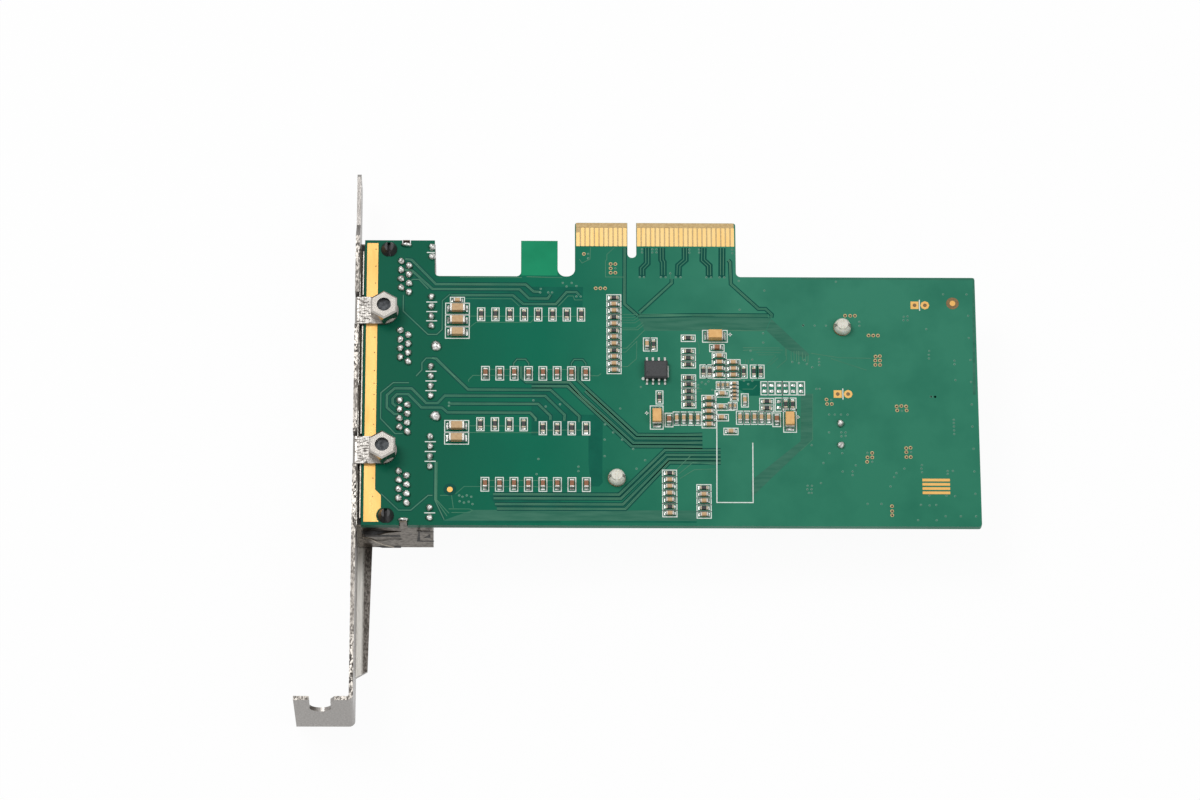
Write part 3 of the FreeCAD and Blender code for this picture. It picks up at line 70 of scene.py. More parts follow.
class Surface:
    """A node material in the making, mapped by the card's own coordinates in metres."""

    def __init__(self, name, colour, rough, metallic=0.0, **sockets):
        self.material = bpy.data.materials.new(name)
        self.material.use_nodes = True
        self.nodes = self.material.node_tree.nodes
        self.links = self.material.node_tree.links
        self.shader = self.nodes["Principled BSDF"]
        coordinates = self.nodes.new("ShaderNodeTexCoord")
        self.place, self.facing = coordinates.outputs["Object"], coordinates.outputs["Normal"]
        self.shader.inputs["Base Color"].default_value = colour
        self.shader.inputs["Roughness"].default_value = rough
        self.shader.inputs["Metallic"].default_value = metallic
        for socket, value in sockets.items():
            self.shader.inputs[socket.replace("_", " ")].default_value = value

    def axes(self, vector):
        """The X, Y and Z of a vector, by name."""
        node = self.nodes.new("ShaderNodeSeparateXYZ")
        self.links.new(vector, node.inputs[0])
        return node.outputs

    def noise(self, size, stretch=(1, 1, 1), detail=3.0):
        """Noise whose blots are about size millimetres across."""
        mapping = self.nodes.new("ShaderNodeMapping")
        mapping.inputs["Scale"].default_value = stretch
        self.links.new(self.place, mapping.inputs["Vector"])
        texture = self.nodes.new("ShaderNodeTexNoise")
        texture.inputs["Scale"].default_value = 1 / (size * MM)
        texture.inputs["Detail"].default_value = detail
        self.links.new(mapping.outputs["Vector"], texture.inputs["Vector"])
        return texture.outputs["Fac"]

    def spread(self, value, low, high, to_low=0.0, to_high=1.0):
        """The value stretched from low and high to the new ends, and held there."""
        node = self.nodes.new("ShaderNodeMapRange")
        for name, number in (("From Min", low), ("From Max", high), ("To Min", to_low),
                             ("To Max", to_high)):
            node.inputs[name].default_value = number
        self.links.new(value, node.inputs["Value"])
        return node.outputs["Result"]

    def product(self, share, *others):
        for other in others:
            node = self.nodes.new("ShaderNodeMath")
            node.operation = "MULTIPLY"
            self.links.new(share, node.inputs[0])
            self.links.new(other, node.inputs[1])
            share = node.outputs[0]
        return share

    def blend(self, share, first, second):
        """A colour between two, each a colour or a socket."""
        node = self.nodes.new("ShaderNodeMix")
        node.data_type = "RGBA"
        self.links.new(share, node.inputs["Factor"])
        ends = [socket for socket in node.inputs if socket.type == "RGBA"]
        for socket, colour in zip(ends, (first, second)):
            if isinstance(colour, tuple):
                socket.default_value = colour
            else:
                self.links.new(colour, socket)
        return next(socket for socket in node.outputs if socket.type == "RGBA")

    def colour(self, socket):
        self.links.new(socket, self.shader.inputs["Base Color"])

    def rough(self, socket):
        self.links.new(socket, self.shader.inputs["Roughness"])

    def bump(self, height, depth, strength=1.0):
        """Raises the surface by depth millimetres where height is 1, over any earlier bump."""
        node = self.nodes.new("ShaderNodeBump")
        node.inputs["Strength"].default_value = strength
        node.inputs["Distance"].default_value = depth * MM
        self.links.new(height, node.inputs["Height"])
        previous = self.shader.inputs["Normal"].links
        if previous:
            self.links.new(previous[0].from_socket, node.inputs["Normal"])
        self.links.new(node.outputs["Normal"], self.shader.inputs["Normal"])


def mottled(name, first, second, rough, size, metallic=0.0, depth=0.01, stretch=(1, 1, 1),
            rough_swing=0.08, **sockets):
    """A surface of two close colours in blots, with uneven gloss and a slight relief."""
    first, second = linear(*first), linear(*second)
    surface = Surface(name, first, rough, metallic, **sockets)
    blots = surface.noise(size, stretch)
    surface.colour(surface.blend(surface.spread(blots, 0.35, 0.65), first, second))
    surface.rough(surface.spread(blots, 0.3, 0.7, rough - rough_swing, rough + rough_swing))
    surface.bump(surface.noise(size / 4, stretch), depth)
    return surface


def board_mask():
    """Green mask, darkest by the ports and paler towards the far end and the edge contacts."""
    surface = Surface("solder_mask", linear(20, 104, 76), 0.34, **MASK_SHEEN)
    place = surface.axes(surface.place)
    left, low = BOARD_LOW.x, BOARD_LOW.y
    near = surface.spread(place["X"], left + 12 * MM, left + 34 * MM)
    far = surface.spread(place["X"], left + 38 * MM, left + 78 * MM)
    up = surface.spread(place["Y"], low, low + 56 * MM, 0.2, 0.8)
    tint = surface.blend(near, linear(0, 89, 66), linear(0, 103, 78))
    tint = surface.blend(far, tint, surface.blend(up, linear(42, 119, 93), linear(56, 128, 104)))
    blots = surface.noise(9)
    tint = surface.blend(surface.spread(blots, 0.42, 0.75, 0.0, 0.35), tint, linear(0, 88, 68))
    surface.colour(tint)
    surface.rough(surface.spread(blots, 0.3, 0.7, 0.3, 0.38))
    surface.bump(surface.noise(1.6), 0.004)
    return surface


def bracket_sheet():
    """Plated sheet, drawn along its length; grain and painted glints where sheared, marks on the
    ears.
    """
    surface = Surface("bracket_sheet", linear(186, 182, 176), 0.34, 0.95)
    drawn = surface.noise(0.4, (1, 0.12, 1))
    torn = surface.noise(0.32, (1, 0.5, 1), 5.0)
    streak = surface.noise(3.0, (3, 0.25, 1), 4.0)
    marks = surface.noise(0.5, (0.5, 1.6, 1), 4.0)
    place = surface.axes(surface.place)
    upward = surface.spread(surface.axes(surface.facing)["Z"], *FACING_UP)

    def past(axis, start, end):
        """0 to 1 from start to end, in the board's millimetres along this axis."""
        zero = BOARD_LOW.x if axis == "X" else BOARD_HIGH.z
        return surface.spread(place[axis], zero + start * MM, zero + end * MM)

    flat = surface.blend(surface.spread(drawn, 0.3, 0.7), linear(158, 154, 150),
                         linear(136, 132, 128))
    inside = surface.blend(surface.spread(torn, 0.42, 0.6), linear(88, 83, 78),
                           linear(136, 130, 124))
    # painted highlight: a near-white band along the bend where the lip starts, on the upward faces
    # deep below the board
    lip = surface.blend(past("X", -0.1, 0.5), linear(238, 235, 228), inside)
    flat = surface.blend(surface.product(upward, past("Z", -10, -11)), flat, lip)
    ear_marks = surface.blend(surface.spread(marks, 0.47, 0.6), linear(176, 172, 167),
                            linear(78, 74, 70))
    ears = surface.product(upward, past("Z", 0.4, 0.5), past("Z", 1.3, 1.2), past("X", 2.2, 1.2))
    flat = surface.blend(ears, flat, ear_marks)
    # sheared faces: near-black and near-white flecks, partly real grain and partly painted glints
    grain = surface.blend(surface.spread(torn, 0.44, 0.56), linear(50, 47, 44),
                          linear(204, 198, 190))
    grain = surface.blend(surface.spread(streak, 0.4, 0.62, 0.0, 0.8), grain,
                          linear(112, 107, 102))
    sheared = surface.product(upward, past("Z", 1.3, 1.4))
    surface.colour(surface.blend(sheared, flat, grain))
    surface.rough(surface.spread(drawn, 0.3, 0.7, 0.26, 0.42))
    surface.bump(drawn, 0.012)
    surface.bump(torn, 0.05, 0.6)
    return surface


# the material's name, its two colours, roughness, size of the blots in millimetres, and the rest
LOOKS = {
    # on the board
    "copper": ("mask_over_fine_lines", (62, 116, 96), (44, 104, 84), 0.36, 0.8,
               {"depth": 0.006, "stretch": (0.12, 1, 1), **MASK_SHEEN}),
    "shade": ("mask_over_core", (0, 88, 70), (4, 96, 76), 0.33, 4,
              {"depth": 0.003, "rough_swing": 0.03, **MASK_SHEEN}),
    "laminate": ("bare_laminate", (24, 142, 100), (18, 132, 92), 0.36, 6,
                 {"depth": 0.004, **MASK_SHEEN}),
    "gap": ("mask_over_laminate", (0, 70, 60), (0, 78, 66), 0.33, 5,
            {"depth": 0.003, "rough_swing": 0.03, **MASK_SHEEN}),
    "trace": ("mask_over_copper", (82, 132, 106), (62, 122, 98), 0.36, 8,
              {"depth": 0.003, **MASK_SHEEN}),
    "via": ("via_ring", (96, 146, 124), (70, 128, 104), 0.4, 0.3, {}),
    "hole": ("via_hole", (16, 70, 52), (8, 52, 40), 0.5, 0.2, {}),
    "via_gold": ("via_plating", (196, 174, 128), (164, 142, 98), 0.35, 0.3, {"metallic": 0.4}),
    # via_dark: painted shade, a dark disc standing for the open bore of each gold-ringed via
    "via_dark": ("via_bore", (58, 42, 26), (38, 28, 18), 0.6, 0.2, {}),
    # bare laminate in holes and clear rings, and also the painted shadow under each push-pin head
    "brown_hole_and_pin_shadow": ("bare_brown_and_painted_shadow", (132, 104, 62), (104, 80, 48), 0.6, 0.3, {}),
    "bevel": ("bare_bevel", (204, 176, 124), (186, 156, 104), 0.5, 0.5, {}),
    "silk": ("silk_ink", (226, 232, 226), (206, 216, 208), 0.55, 0.6, {}),
    "contact": ("contact_plating", (248, 214, 146), (236, 194, 120), 0.28, 1.6,
                {"metallic": 0.6, "depth": 0.003, "stretch": (1, 0.2, 1)}),
    "gold": ("gold_plate", (231, 183, 107), (217, 167, 91), 0.34, 2.2,
             {"metallic": 0.6, "depth": 0.003, "stretch": (1, 0.25, 1)}),
    # metal
    "tin": ("shield_sheet", (108, 100, 90), (82, 75, 66), 0.34, 0.8, {"metallic": 0.9}),
    # a painted highlight along the spring finger on the shield's end wall
    "tin_painted_highlight": ("shield_finger_painted_highlight", (158, 148, 132), (122, 112, 98), 0.3, 0.6, {"metallic": 0.9}),
    # a painted highlight on the shield's front lip
    "tin_lip_painted_highlight": ("shield_lip", (206, 200, 190), (176, 169, 158), 0.3, 1.2, {"metallic": 0.9}),
    "slot_dark": ("slot_shadow", (34, 30, 26), (22, 19, 16), 0.6, 0.5, {}),
    "nut": ("nut_steel", (186, 181, 175), (158, 153, 147), 0.22, 3.0,
            {"metallic": 1.0, "depth": 0.002}),
    "stud": ("stud_steel", (70, 72, 74), (44, 46, 48), 0.4, 0.6,
             {"metallic": 0.9, "depth": 0.02}),
    # solder: the dark blots in its colour are painted reflections of dark facets
    "solder": ("solder", (236, 236, 232), (122, 120, 116), 0.14, 0.55,
               {"metallic": 1.0, "depth": 0.06}),
    "wire": ("contact_gold", (236, 196, 120), (220, 176, 100), 0.25, 1.0, {"metallic": 1.0}),
    "lead": ("tinned_lead", (200, 200, 196), (160, 160, 156), 0.25, 0.5, {"metallic": 1.0}),
    "sink": ("anodised", (150, 152, 155), (136, 138, 141), 0.38, 1.0,
             {"metallic": 0.9, "stretch": (0.1, 1, 1)}),
    # plastic and rubber
    "black": ("black_moulding", (34, 34, 35), (26, 26, 27), 0.42, 1.2, {}),
    "chip": ("chip_moulding", (44, 45, 47), (36, 37, 39), 0.55, 0.25, {}),
    "nylon": ("nylon", (232, 228, 214), (212, 206, 190), 0.4, 1.5, {"Subsurface_Weight": 0.1}),
    # split: grey prisms in the push-pin heads, painted shade in their splits
    "split": ("pin_split", (96, 92, 84), (70, 66, 58), 0.5, 0.3, {}),
    "pad": ("thermal_pad", (130, 130, 134), (118, 118, 122), 0.8, 1.0, {}),
    "green_lamp": ("green_lamp", (90, 190, 90), (80, 180, 82), 0.2, 3,
                   {"Transmission_Weight": 0.4}),
    "amber_lamp": ("amber_lamp", (235, 165, 50), (225, 150, 44), 0.2, 3,
                   {"Transmission_Weight": 0.4}),
    # chip parts
    "cap": ("plated_end", (214, 212, 206), (176, 174, 168), 0.3, 0.4,
            {"metallic": 0.6, "depth": 0.02}),
    "cap_tan": ("resistor_end", (206, 196, 172), (160, 150, 130), 0.34, 0.4,
                {"metallic": 0.5, "depth": 0.02}),
    "resistor": ("resistor_coat", (38, 38, 40), (28, 28, 30), 0.45, 0.3, {}),
    "tan": ("tan_ceramic", (196, 164, 122), (184, 150, 108), 0.5, 0.5, {}),
    "brown": ("brown_ceramic", (148, 96, 62), (124, 78, 48), 0.5, 0.4, {}),
    "tantalum": ("tantalum_case", (226, 178, 112), (214, 164, 98), 0.5, 1.0, {}),
    "ferrite": ("ferrite", (62, 62, 64), (50, 50, 52), 0.6, 0.4, {}),
}

MATERIALS = {"board": board_mask().material, "steel": bracket_sheet().material}
for look, (*plain, rest) in LOOKS.items():
    MATERIALS[look] = mottled(*plain, **rest).material

NODE_LOOKS = {
    "board": ["printed_circuit_board"],
    "contact": ["edge_contacts_solder_side", "edge_contacts_component_side"],
    "gold": ["ground_strip", "bare_pads"],
    "steel": ["mounting_bracket"], "tin": ["jack_shield", "crystal_can"],
    "black": ["jack_housing"], "nut": ["bracket_nuts"], "stud": ["mounting_studs"],
    "wire": [f"port_contacts_{number}" for number in range(1, 5)],
    "chip": [f"line_transformer_{number}" for number in range(1, 5)]
            + ["controller_chip", "flash_memory", "voltage_regulator"],
    "lead": [f"transformer_leads_{number}" for number in range(1, 5)]
            + ["lamp_leads", "crystal_header", "flash_memory_leads", "voltage_regulator_leads",
               "push_pin_springs"],
    "green_lamp": ["link_lamps"], "amber_lamp": ["activity_lamps"],
    "solder": ["controller_solder_balls", "jack_solder_joints", "lamp_solder_joints",
               "crystal_solder_joints", "shield_solder_joints"],
    "pad": ["thermal_pad"], "sink": ["heat_sink"], "nylon": ["heat_sink_push_pins"],
    "resistor": ["chip_resistors_0603", "chip_resistors_0805"],
    "tan": ["chip_capacitors_0603", "chip_capacitors_1206", "chip_capacitors_0402",
            "component_side_chips"],
    "brown": ["chip_capacitors_0805"], "tantalum": ["tantalum_capacitors"],
    "ferrite": ["power_inductors"],
}
for look, nodes in NODE_LOOKS.items():
    for node in nodes:
        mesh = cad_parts[node].data
        mesh.materials.clear()
        mesh.materials.append(MATERIALS[look])


# ---- pieces -----------------------------------------------------------------------------------

MITRE_LIMIT = 0.4


def mitres(points):
    """Each point of a line with the direction square to it, longer at corners by the mitre."""
    flat = [Vector(point) for point in points]
    for i, point in enumerate(flat):
        before = (point - flat[i - 1]) if i else (flat[1] - point)
        after = (flat[i + 1] - point) if i + 1 < len(flat) else before
        normals = [Vector((-step.y, step.x)).normalized() for step in (before, after)]
        mitre = (normals[0] + normals[1]).normalized()
        yield point, mitre, max(mitre.dot(normals[0]), MITRE_LIMIT)


def shifted(points, side):
    """The points moved sideways, for one line of a pair."""
    moved = [point + mitre * side / share for point, mitre, share in mitres(points)]
    return [(point.x, point.y) for point in moved]


def circle(x, y, radius, count=12):
    return [(x + radius * math.cos(math.tau * i / count),
             y + radius * math.sin(math.tau * i / count)) for i in range(count)]


class Solid:
    """Closed shapes in several materials, gathered into one piece; lengths in millimetres."""

    def __init__(self, *looks):
        self.looks = list(looks)
        self.verts, self.faces, self.slots, self.smooth = [], [], [], []

    def rings(self, rings, look, smooth=False):
        """A closed solid through rings of equally many points, capped at both ends."""
        count, last = len(rings[0]), len(rings) - 1
        faces = [list(range(count)), [last * count + i for i in range(count)]]
        for level in range(last):
            for i in range(count):
                j = (i + 1) % count
                faces.append([level * count + i, level * count + j,
                              (level + 1) * count + j, (level + 1) * count + i])
        start = len(self.verts)
        self.verts += [at(*point) for ring in rings for point in ring]
        self.faces += [[start + index for index in face] for face in faces]
        self.slots += [self.looks.index(look)] * len(faces)
        self.smooth += [smooth] * len(faces)

    def prism(self, outline, low, high, look):
        self.rings([[(x, y, z) for x, y in outline] for z in (low, high)], look)

    def across(self, outline, starts, look):
        """An outline in x and z, drawn from one y to the other."""
        self.rings([[(x, y, z) for x, z in outline] for y in starts], look)

    def strip(self, points, width, low, high, look):
        """A line of this width along the points, with mitred corners."""
        sides = []
        for point, mitre, share in mitres(points):
            mitre *= width / 2 / share
            sides.append((point + mitre, point - mitre))
        self.rings([[(a.x, a.y, low), (b.x, b.y, low), (b.x, b.y, high), (a.x, a.y, high)]
                    for a, b in sides], look)

    def disc(self, x, y, radius, low, high, look, count=12):
        self.prism(circle(x, y, radius, count), low, high, look)

    def frame(self, x, y, half_x, half_y, width, low, high, look):
        """Four lines round a rectangle."""
        for edge in (-1, 1):
            self.strip([(x - half_x - width / 2, y + edge * half_y),
                        (x + half_x + width / 2, y + edge * half_y)], width, low, high, look)
            self.strip([(x + edge * half_x, y - half_y + width / 2),
                        (x + edge * half_x, y + half_y - width / 2)], width, low, high, look)

    def piece(self, name, slot, *nodes):
        """The gathered shapes as one object, standing for these nodes of the CAD."""
        mesh = bpy.data.meshes.new(name)
        mesh.from_pydata(self.verts, [], self.faces)
        for look in self.looks:
            mesh.materials.append(MATERIALS[look])
        mesh.polygons.foreach_set("material_index", self.slots)
        mesh.polygons.foreach_set("use_smooth", self.smooth)
        shape = bmesh.new()
        shape.from_mesh(mesh)
        bmesh.ops.recalc_face_normals(shape, faces=shape.faces)
        shape.to_mesh(mesh)
        shape.free()
        piece = bpy.data.objects.new(name, mesh)
        bpy.context.collection.objects.link(piece)
        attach(piece, "root")
        if nodes:
            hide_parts(*nodes)


def lumps(node):
    """The boxes of a CAD node's separate solids: middle x, y, size x, y, lowest and highest z."""
    shape = bmesh.new()
    shape.from_mesh(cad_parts[node].data)
    bmesh.ops.remove_doubles(shape, verts=shape.verts, dist=1e-6)
    corner = at(0, 0)
    seen, boxes = set(), []
    for first in shape.verts:
        if first in seen:
            continue
        stack, points = [first], []
        seen.add(first)
        while stack:
            vertex = stack.pop()
            points.append((vertex.co - corner) / MM)
            for edge in vertex.link_edges:
                other = edge.other_vert(vertex)
                if other not in seen:
                    seen.add(other)
                    stack.append(other)
        low = [min(point[axis] for point in points) for axis in range(3)]
        high = [max(point[axis] for point in points) for axis in range(3)]
        boxes.append(tuple(round(value, 3) for value in (
            (low[0] + high[0]) / 2, (low[1] + high[1]) / 2, high[0] - low[0], high[1] - low[1],
            low[2], high[2])))
    shape.free()
    return sorted(boxes)


# ---- board artwork, in the board's millimetres -------------------------------------------------

DOUBLE_TRACES = """
8.6,60.2 10.0,60.0 15.2,54.4 34.3,54.4 36.0,52.8 37.3,52.7; 8.5,57.7 10.1,57.5 14.5,53.3
33.0,53.3 35.0,51.2 39.0,51.2 39.6,52.2; 18.4,51.9 31.6,51.9 33.8,49.9 40.7,49.9 43.0,52.7
45.1,52.7 45.7,52.0; 33.4,35.7 33.4,33.1 34.5,32.1 43.6,32.1 46.2,29.0 57.1,18.5 67.1,18.5
71.6,18.6; 45.5,35.7 45.4,32.6 49.4,28.6 57.9,20.3 67.1,20.3 71.6,20.4; 46.9,30.1 57.5,19.5
67.1,19.5 71.6,19.5; 35.6,31.2 43.2,31.2 56.7,17.7 67.1,17.7 71.6,17.6; 7.6,24.8 6.7,24.8
5.1,26.3 5.1,29.1 6.7,30.6 10.3,30.6 13.4,27.3 15.8,27.3 17.3,29.0 38.5,29.0 42.6,24.7
42.5,23.4; 7.0,26.6 6.3,27.2 6.3,28.3 7.2,29.3 9.6,29.3 12.4,26.3 16.7,26.3 17.9,25.2
35.3,25.2 36.5,23.9 36.5,23.3; 18.4,27.2 37.0,27.2 39.6,24.5 39.6,23.6; 14.5,37.5 15.3,37.4
22.2,30.4 39.6,30.4 45.7,24.4 45.6,23.1; 27.6,6.9 48.1,6.9 54.0,6.9 63.7,16.9 75.4,16.9;
27.7,6.0 48.1,6.0 54.4,6.0 63.9,15.8 75.4,15.8; 28.0,4.7 48.0,4.7 54.8,4.7 64.4,14.9
75.4,14.9; 28.4,3.7 48.0,3.7 55.3,3.7 64.6,14.1 75.4,14.1; 55.4,63.0 55.3,50.0 58.2,47.3;
65.4,55.8 65.4,54.9 58.5,48.1; 77.5,60.2 77.9,59.7 78.0,54.7 83.8,49.0 85.3,49.0 86.6,47.7
86.5,47.0; 58.2,47.2 69.6,47.5 85.8,47.5
"""
FINGER_TRACES = """
60.2,63.0 60.2,59.4 59.1,58.2 59.1,56.7; 63.3,63.0 63.3,60.2 63.6,59.7 63.6,56.7; 68.3,63.0
68.3,60.2 66.9,58.9 66.8,56.7; 72.2,63.0 72.1,60.2 73.4,58.9 73.4,56.7; 76.2,63.0 76.1,56.7
"""
SINGLE_TRACES = """
9.5,55.0 10.3,55.5 11.6,55.5 13.6,53.3; 8.3,51.9 8.3,48.2 13.6,42.9 15.5,42.9 16.6,44.0
16.6,50.6 18.2,52.1; 11.2,33.4 12.4,34.8 12.4,36.4 13.3,37.5 15.5,37.5 19.5,33.2; 9.7,31.9
6.4,31.9 3.8,29.6 3.8,23.8 6.9,20.4 8.5,20.4; 4.2,6.9 7.8,3.3 10.4,3.3 14.0,6.6 14.9,6.6;
31.8,35.8 31.8,36.4 32.5,37.3 34.3,37.3 35.0,36.4 35.0,35.7; 44.0,35.8 44.0,36.4 44.6,37.3
46.4,37.3 47.1,36.4 47.1,35.7; 15.4,14.1 15.4,5.6 17.4,1.2; 35.6,25.1 36.5,24.0 36.4,23.4
"""
THIN_TRACES = """
20.3,56.0 33.5,56.0; 34.5,56.2 42.1,56.0; 21.4,51.1 31.3,51.1 33.0,49.4; 41.2,49.4 43.3,51.8
44.4,51.8 44.7,50.9 46.4,50.9; 22.5,47.1 46.1,47.1; 22.5,44.6 23.8,45.7 35.4,45.7 36.3,46.8;
26.6,35.0 31.2,35.0; 38.8,35.0 43.4,35.0; 22.3,32.2 22.3,32.6 23.2,33.6 32.5,33.6; 48.0,33.6
49.7,33.6 50.3,34.1; 58.4,47.7 74.3,47.6; 58.6,47.4 74.3,47.4; 54.7,47.6 58.2,47.6; 54.7,46.9
57.1,46.9 57.7,47.2; 54.7,46.3 57.3,46.3 58.1,46.9; 54.7,45.7 57.5,45.7 58.6,46.5; 54.7,44.5
57.7,44.5 59.2,45.8; 54.6,44.1 58.1,44.1 59.4,45.3; 54.8,39.9 55.7,39.9 59.6,44.1; 54.8,39.0
55.5,39.0 57.9,41.5 57.8,37.5 55.9,35.7 54.8,35.7; 22.4,22.2 34.0,22.2; 22.4,20.7 37.2,20.7;
38.7,21.2 41.9,21.2; 15.6,14.1 15.6,5.6 18.0,2.0; 15.8,14.1 15.8,5.6 18.4,2.6; 16.5,6.6
18.9,6.6 19.3,3.8; 18.3,3.6 22.7,3.6 23.3,3.3 22.7,2.8 18.9,2.8; 19.7,6.9 21.5,8.6 25.1,8.6;
26.8,10.0 41.8,10.0; 26.8,8.6 41.8,8.6; 35.6,20.8 37.2,20.8; 38.8,21.3 46.4,21.3; 69.6,47.3
86.2,47.3; 69.5,44.0 85.1,44.0; 80.4,40.1 88.2,40.1; 80.4,39.5 82.0,39.6 88.8,39.6; 83.2,39.0
88.4,39.0; 83.6,38.5 87.0,38.5; 87.4,38.3 85.3,36.1; 89.6,39.9 89.6,37.4 87.5,35.5; 87.8,37.8
86.0,36.1; 89.4,40.0 89.4,38.3; 90.6,39.4 90.6,37.0; 91.2,39.4 91.2,37.3; 91.8,39.4 91.7,37.0;
92.2,39.4 92.2,36.8; 93.0,39.1 93.0,37.2; 93.7,38.7 93.6,37.0; 94.2,38.5 94.1,36.5; 80.2,30.7
82.4,30.7 83.2,31.6; 80.9,37.4 80.9,36.1 80.3,35.5; 81.5,37.4 81.5,36.3; 69.5,42.8 70.7,41.8
71.1,40.5 71.1,38.7; 70.3,30.7 71.6,30.7; 70.3,30.1 71.5,30.1; 53.2,63.0 51.6,61.4 51.6,60.3
51.3,59.8 51.3,56.2 55.2,56.2; 45.7,60.3 46.3,59.4 48.0,60.3 48.1,63.0; 65.1,57.1 65.3,54.9
58.5,48.2; 94.8,38.9 100.7,37.9 107.5,37.8; 99.0,37.7 106.5,35.1; 95.0,29.7 94.8,19.3
92.2,16.8; 66.1,12.5 69.1,15.7 74.4,15.7; 66.5,11.5 69.5,14.1 74.3,13.7; 66.8,10.5 69.8,12.5
74.3,12.7
"""
BARE_FIELDS = """
20.2,53.9 46.5,53.9 46.4,49.3 20.2,49.3; 35.6,30.9 40.0,30.7 45.7,24.8 48.9,24.8 50.6,22.9
50.5,10.6 50.6,9.6 49.8,8.7 48.1,8.7 47.6,13.7 47.6,20.1 35.6,20.1; 79.4,32.6 83.9,32.6
83.8,29.2 81.4,29.2 79.4,30.7; 26.8,6.7 41.8,6.8 41.8,3.9 28.4,3.9; 17.2,1.0 41.7,1.0 41.7,0.6
17.2,0.5; 48.0,1.0 70.2,1.0 70.2,0.7 48.0,0.7
"""
COPPER_FIELDS = """
58.2,47.0 59.6,43.9 85.3,44.1 86.5,47.1; 86.5,46.7 94.5,38.6 93.2,37.8 89.4,40.0 85.4,44.1;
17.2,1.0 23.3,3.4 70.3,3.4 70.2,1.1; 92.5,29.7 94.9,29.7 94.7,19.4 92.3,19.0; 93.0,56.2
129.9,56.2 129.9,55.8 93.0,55.8; 129.6,55.8 129.9,55.8 129.5,29.6 128.9,29.6; 92.3,19.0 94.7,19.4
81.7,6.3 81.8,10.2
"""
RING_VIAS = """
46.7,61.5 52.4,59.2 53.4,59.2 52.4,58.2 52.4,57.2 53.4,57.2 49.2,53.6 50.2,53.6 51.2,53.6
102.2,47.5 103.3,47.5 104.3,47.5 107.1,43.0 108.1,43.0 109.1,43.0 108.5,38.2 109.4,38.3
108.4,37.3 109.4,37.3 108.4,36.3 109.4,36.3 97.9,28.4 98.0,27.4 99.0,27.4 112.7,26.9
113.7,27.0 114.7,26.9 112.8,26.0 114.8,26.0 114.5,17.5 115.4,17.6 114.5,16.6 114.5,15.5
115.4,15.5 107.3,16.4 106.3,15.4 107.3,15.4 106.2,14.4 111.2,4.5 111.2,3.4 111.2,2.5
"""
SMALL_VIAS = """
58.6,56.2 59.5,56.2 63.1,56.2 64.1,56.2 66.3,56.2 67.3,56.2 72.8,56.2 73.8,56.2 75.6,56.2
76.6,56.2 47.6,61.5 47.6,60.5 53.4,58.2 42.2,54.8 44.1,54.8 43.0,54.0 45.1,54.1 59.1,62.6
61.3,62.6 62.2,62.6 69.2,62.6 71.3,62.6 78.4,62.6 59.1,61.9 61.3,61.9 62.2,61.9 69.2,61.9
71.3,61.9 78.4,61.8 79.7,55.4 65.1,57.1 93.2,45.2 95.7,45.2 98.1,45.2 105.2,46.1 105.2,45.2
114.7,47.3 115.5,47.4 114.6,46.5 115.5,46.5 119.4,44.5 123.2,52.5 128.2,52.5 128.4,47.6
128.4,42.5 119.9,39.5 119.8,38.6 119.8,37.8 125.2,37.3 125.2,36.5 128.6,37.5 125.3,32.9
128.6,32.5 96.5,37.6 96.5,36.9 96.5,36.2 95.0,35.7 95.8,30.8 96.5,30.8 120.0,29.1 120.9,29.1
100.4,55.3 98.9,28.3 113.8,25.9 115.5,16.6 106.3,16.4 107.3,14.4 98.4,25.0 99.6,25.0
100.9,25.0 102.3,25.0 98.3,21.0 100.9,21.0 101.8,21.0 100.9,20.1 101.8,20.2 94.6,18.1
98.3,16.3 101.0,16.3 97.0,14.1 103.8,13.6 101.0,12.2 103.1,12.2 103.1,11.4 96.4,9.6 93.6,9.0
94.5,9.0 93.5,8.2 94.4,8.2 93.8,7.4 94.4,7.4 112.3,11.9 111.8,11.0 111.0,8.9 114.0,12.9
117.7,13.7 117.6,12.9 117.7,12.1 123.1,12.4 124.2,12.4 123.1,11.7 124.7,23.9 124.7,23.2
124.7,22.4 124.7,21.5 124.7,20.7 128.6,27.4 128.6,22.4 128.7,17.4 128.7,12.3 128.8,7.3
128.8,2.3 125.6,2.3 122.4,2.3 120.5,1.4 116.6,1.4 117.3,4.8 119.1,4.7 120.5,4.8 119.1,6.9
122.7,6.9 124.5,6.8 109.0,5.0 106.1,5.0 120.1,29.1 120.9,29.1 37.5,53.4 37.4,52.6 39.1,52.6
39.9,52.6 45.1,51.7 46.0,51.7 18.2,27.4 18.2,26.7 20.5,6.6 21.2,6.3 22.1,6.6 23.0,6.3 20.6,5.3
21.5,5.0 22.5,5.2 23.3,4.7 37.1,14.8 41.6,27.1 38.6,26.6 45.5,13.1 51.1,22.6 52.8,20.8
54.7,19.2 57.0,17.1 51.0,19.2 51.0,15.5 59.5,14.6 58.7,31.1 54.3,26.2 57.7,12.7 36.7,11.4
45.5,12.1 36.0,28.0 79.8,48.8 93.3,45.3 85.1,53.2 84.7,43.4 84.7,41.3 90.8,36.9 92.2,36.6
93.4,37.3 93.9,36.4 80.5,32.6 81.4,31.8 82.3,32.6 70.8,31.6 71.6,32.2 72.4,31.8 73.0,32.4
70.8,30.9 73.8,30.5 82.0,39.4 82.3,37.4
"""
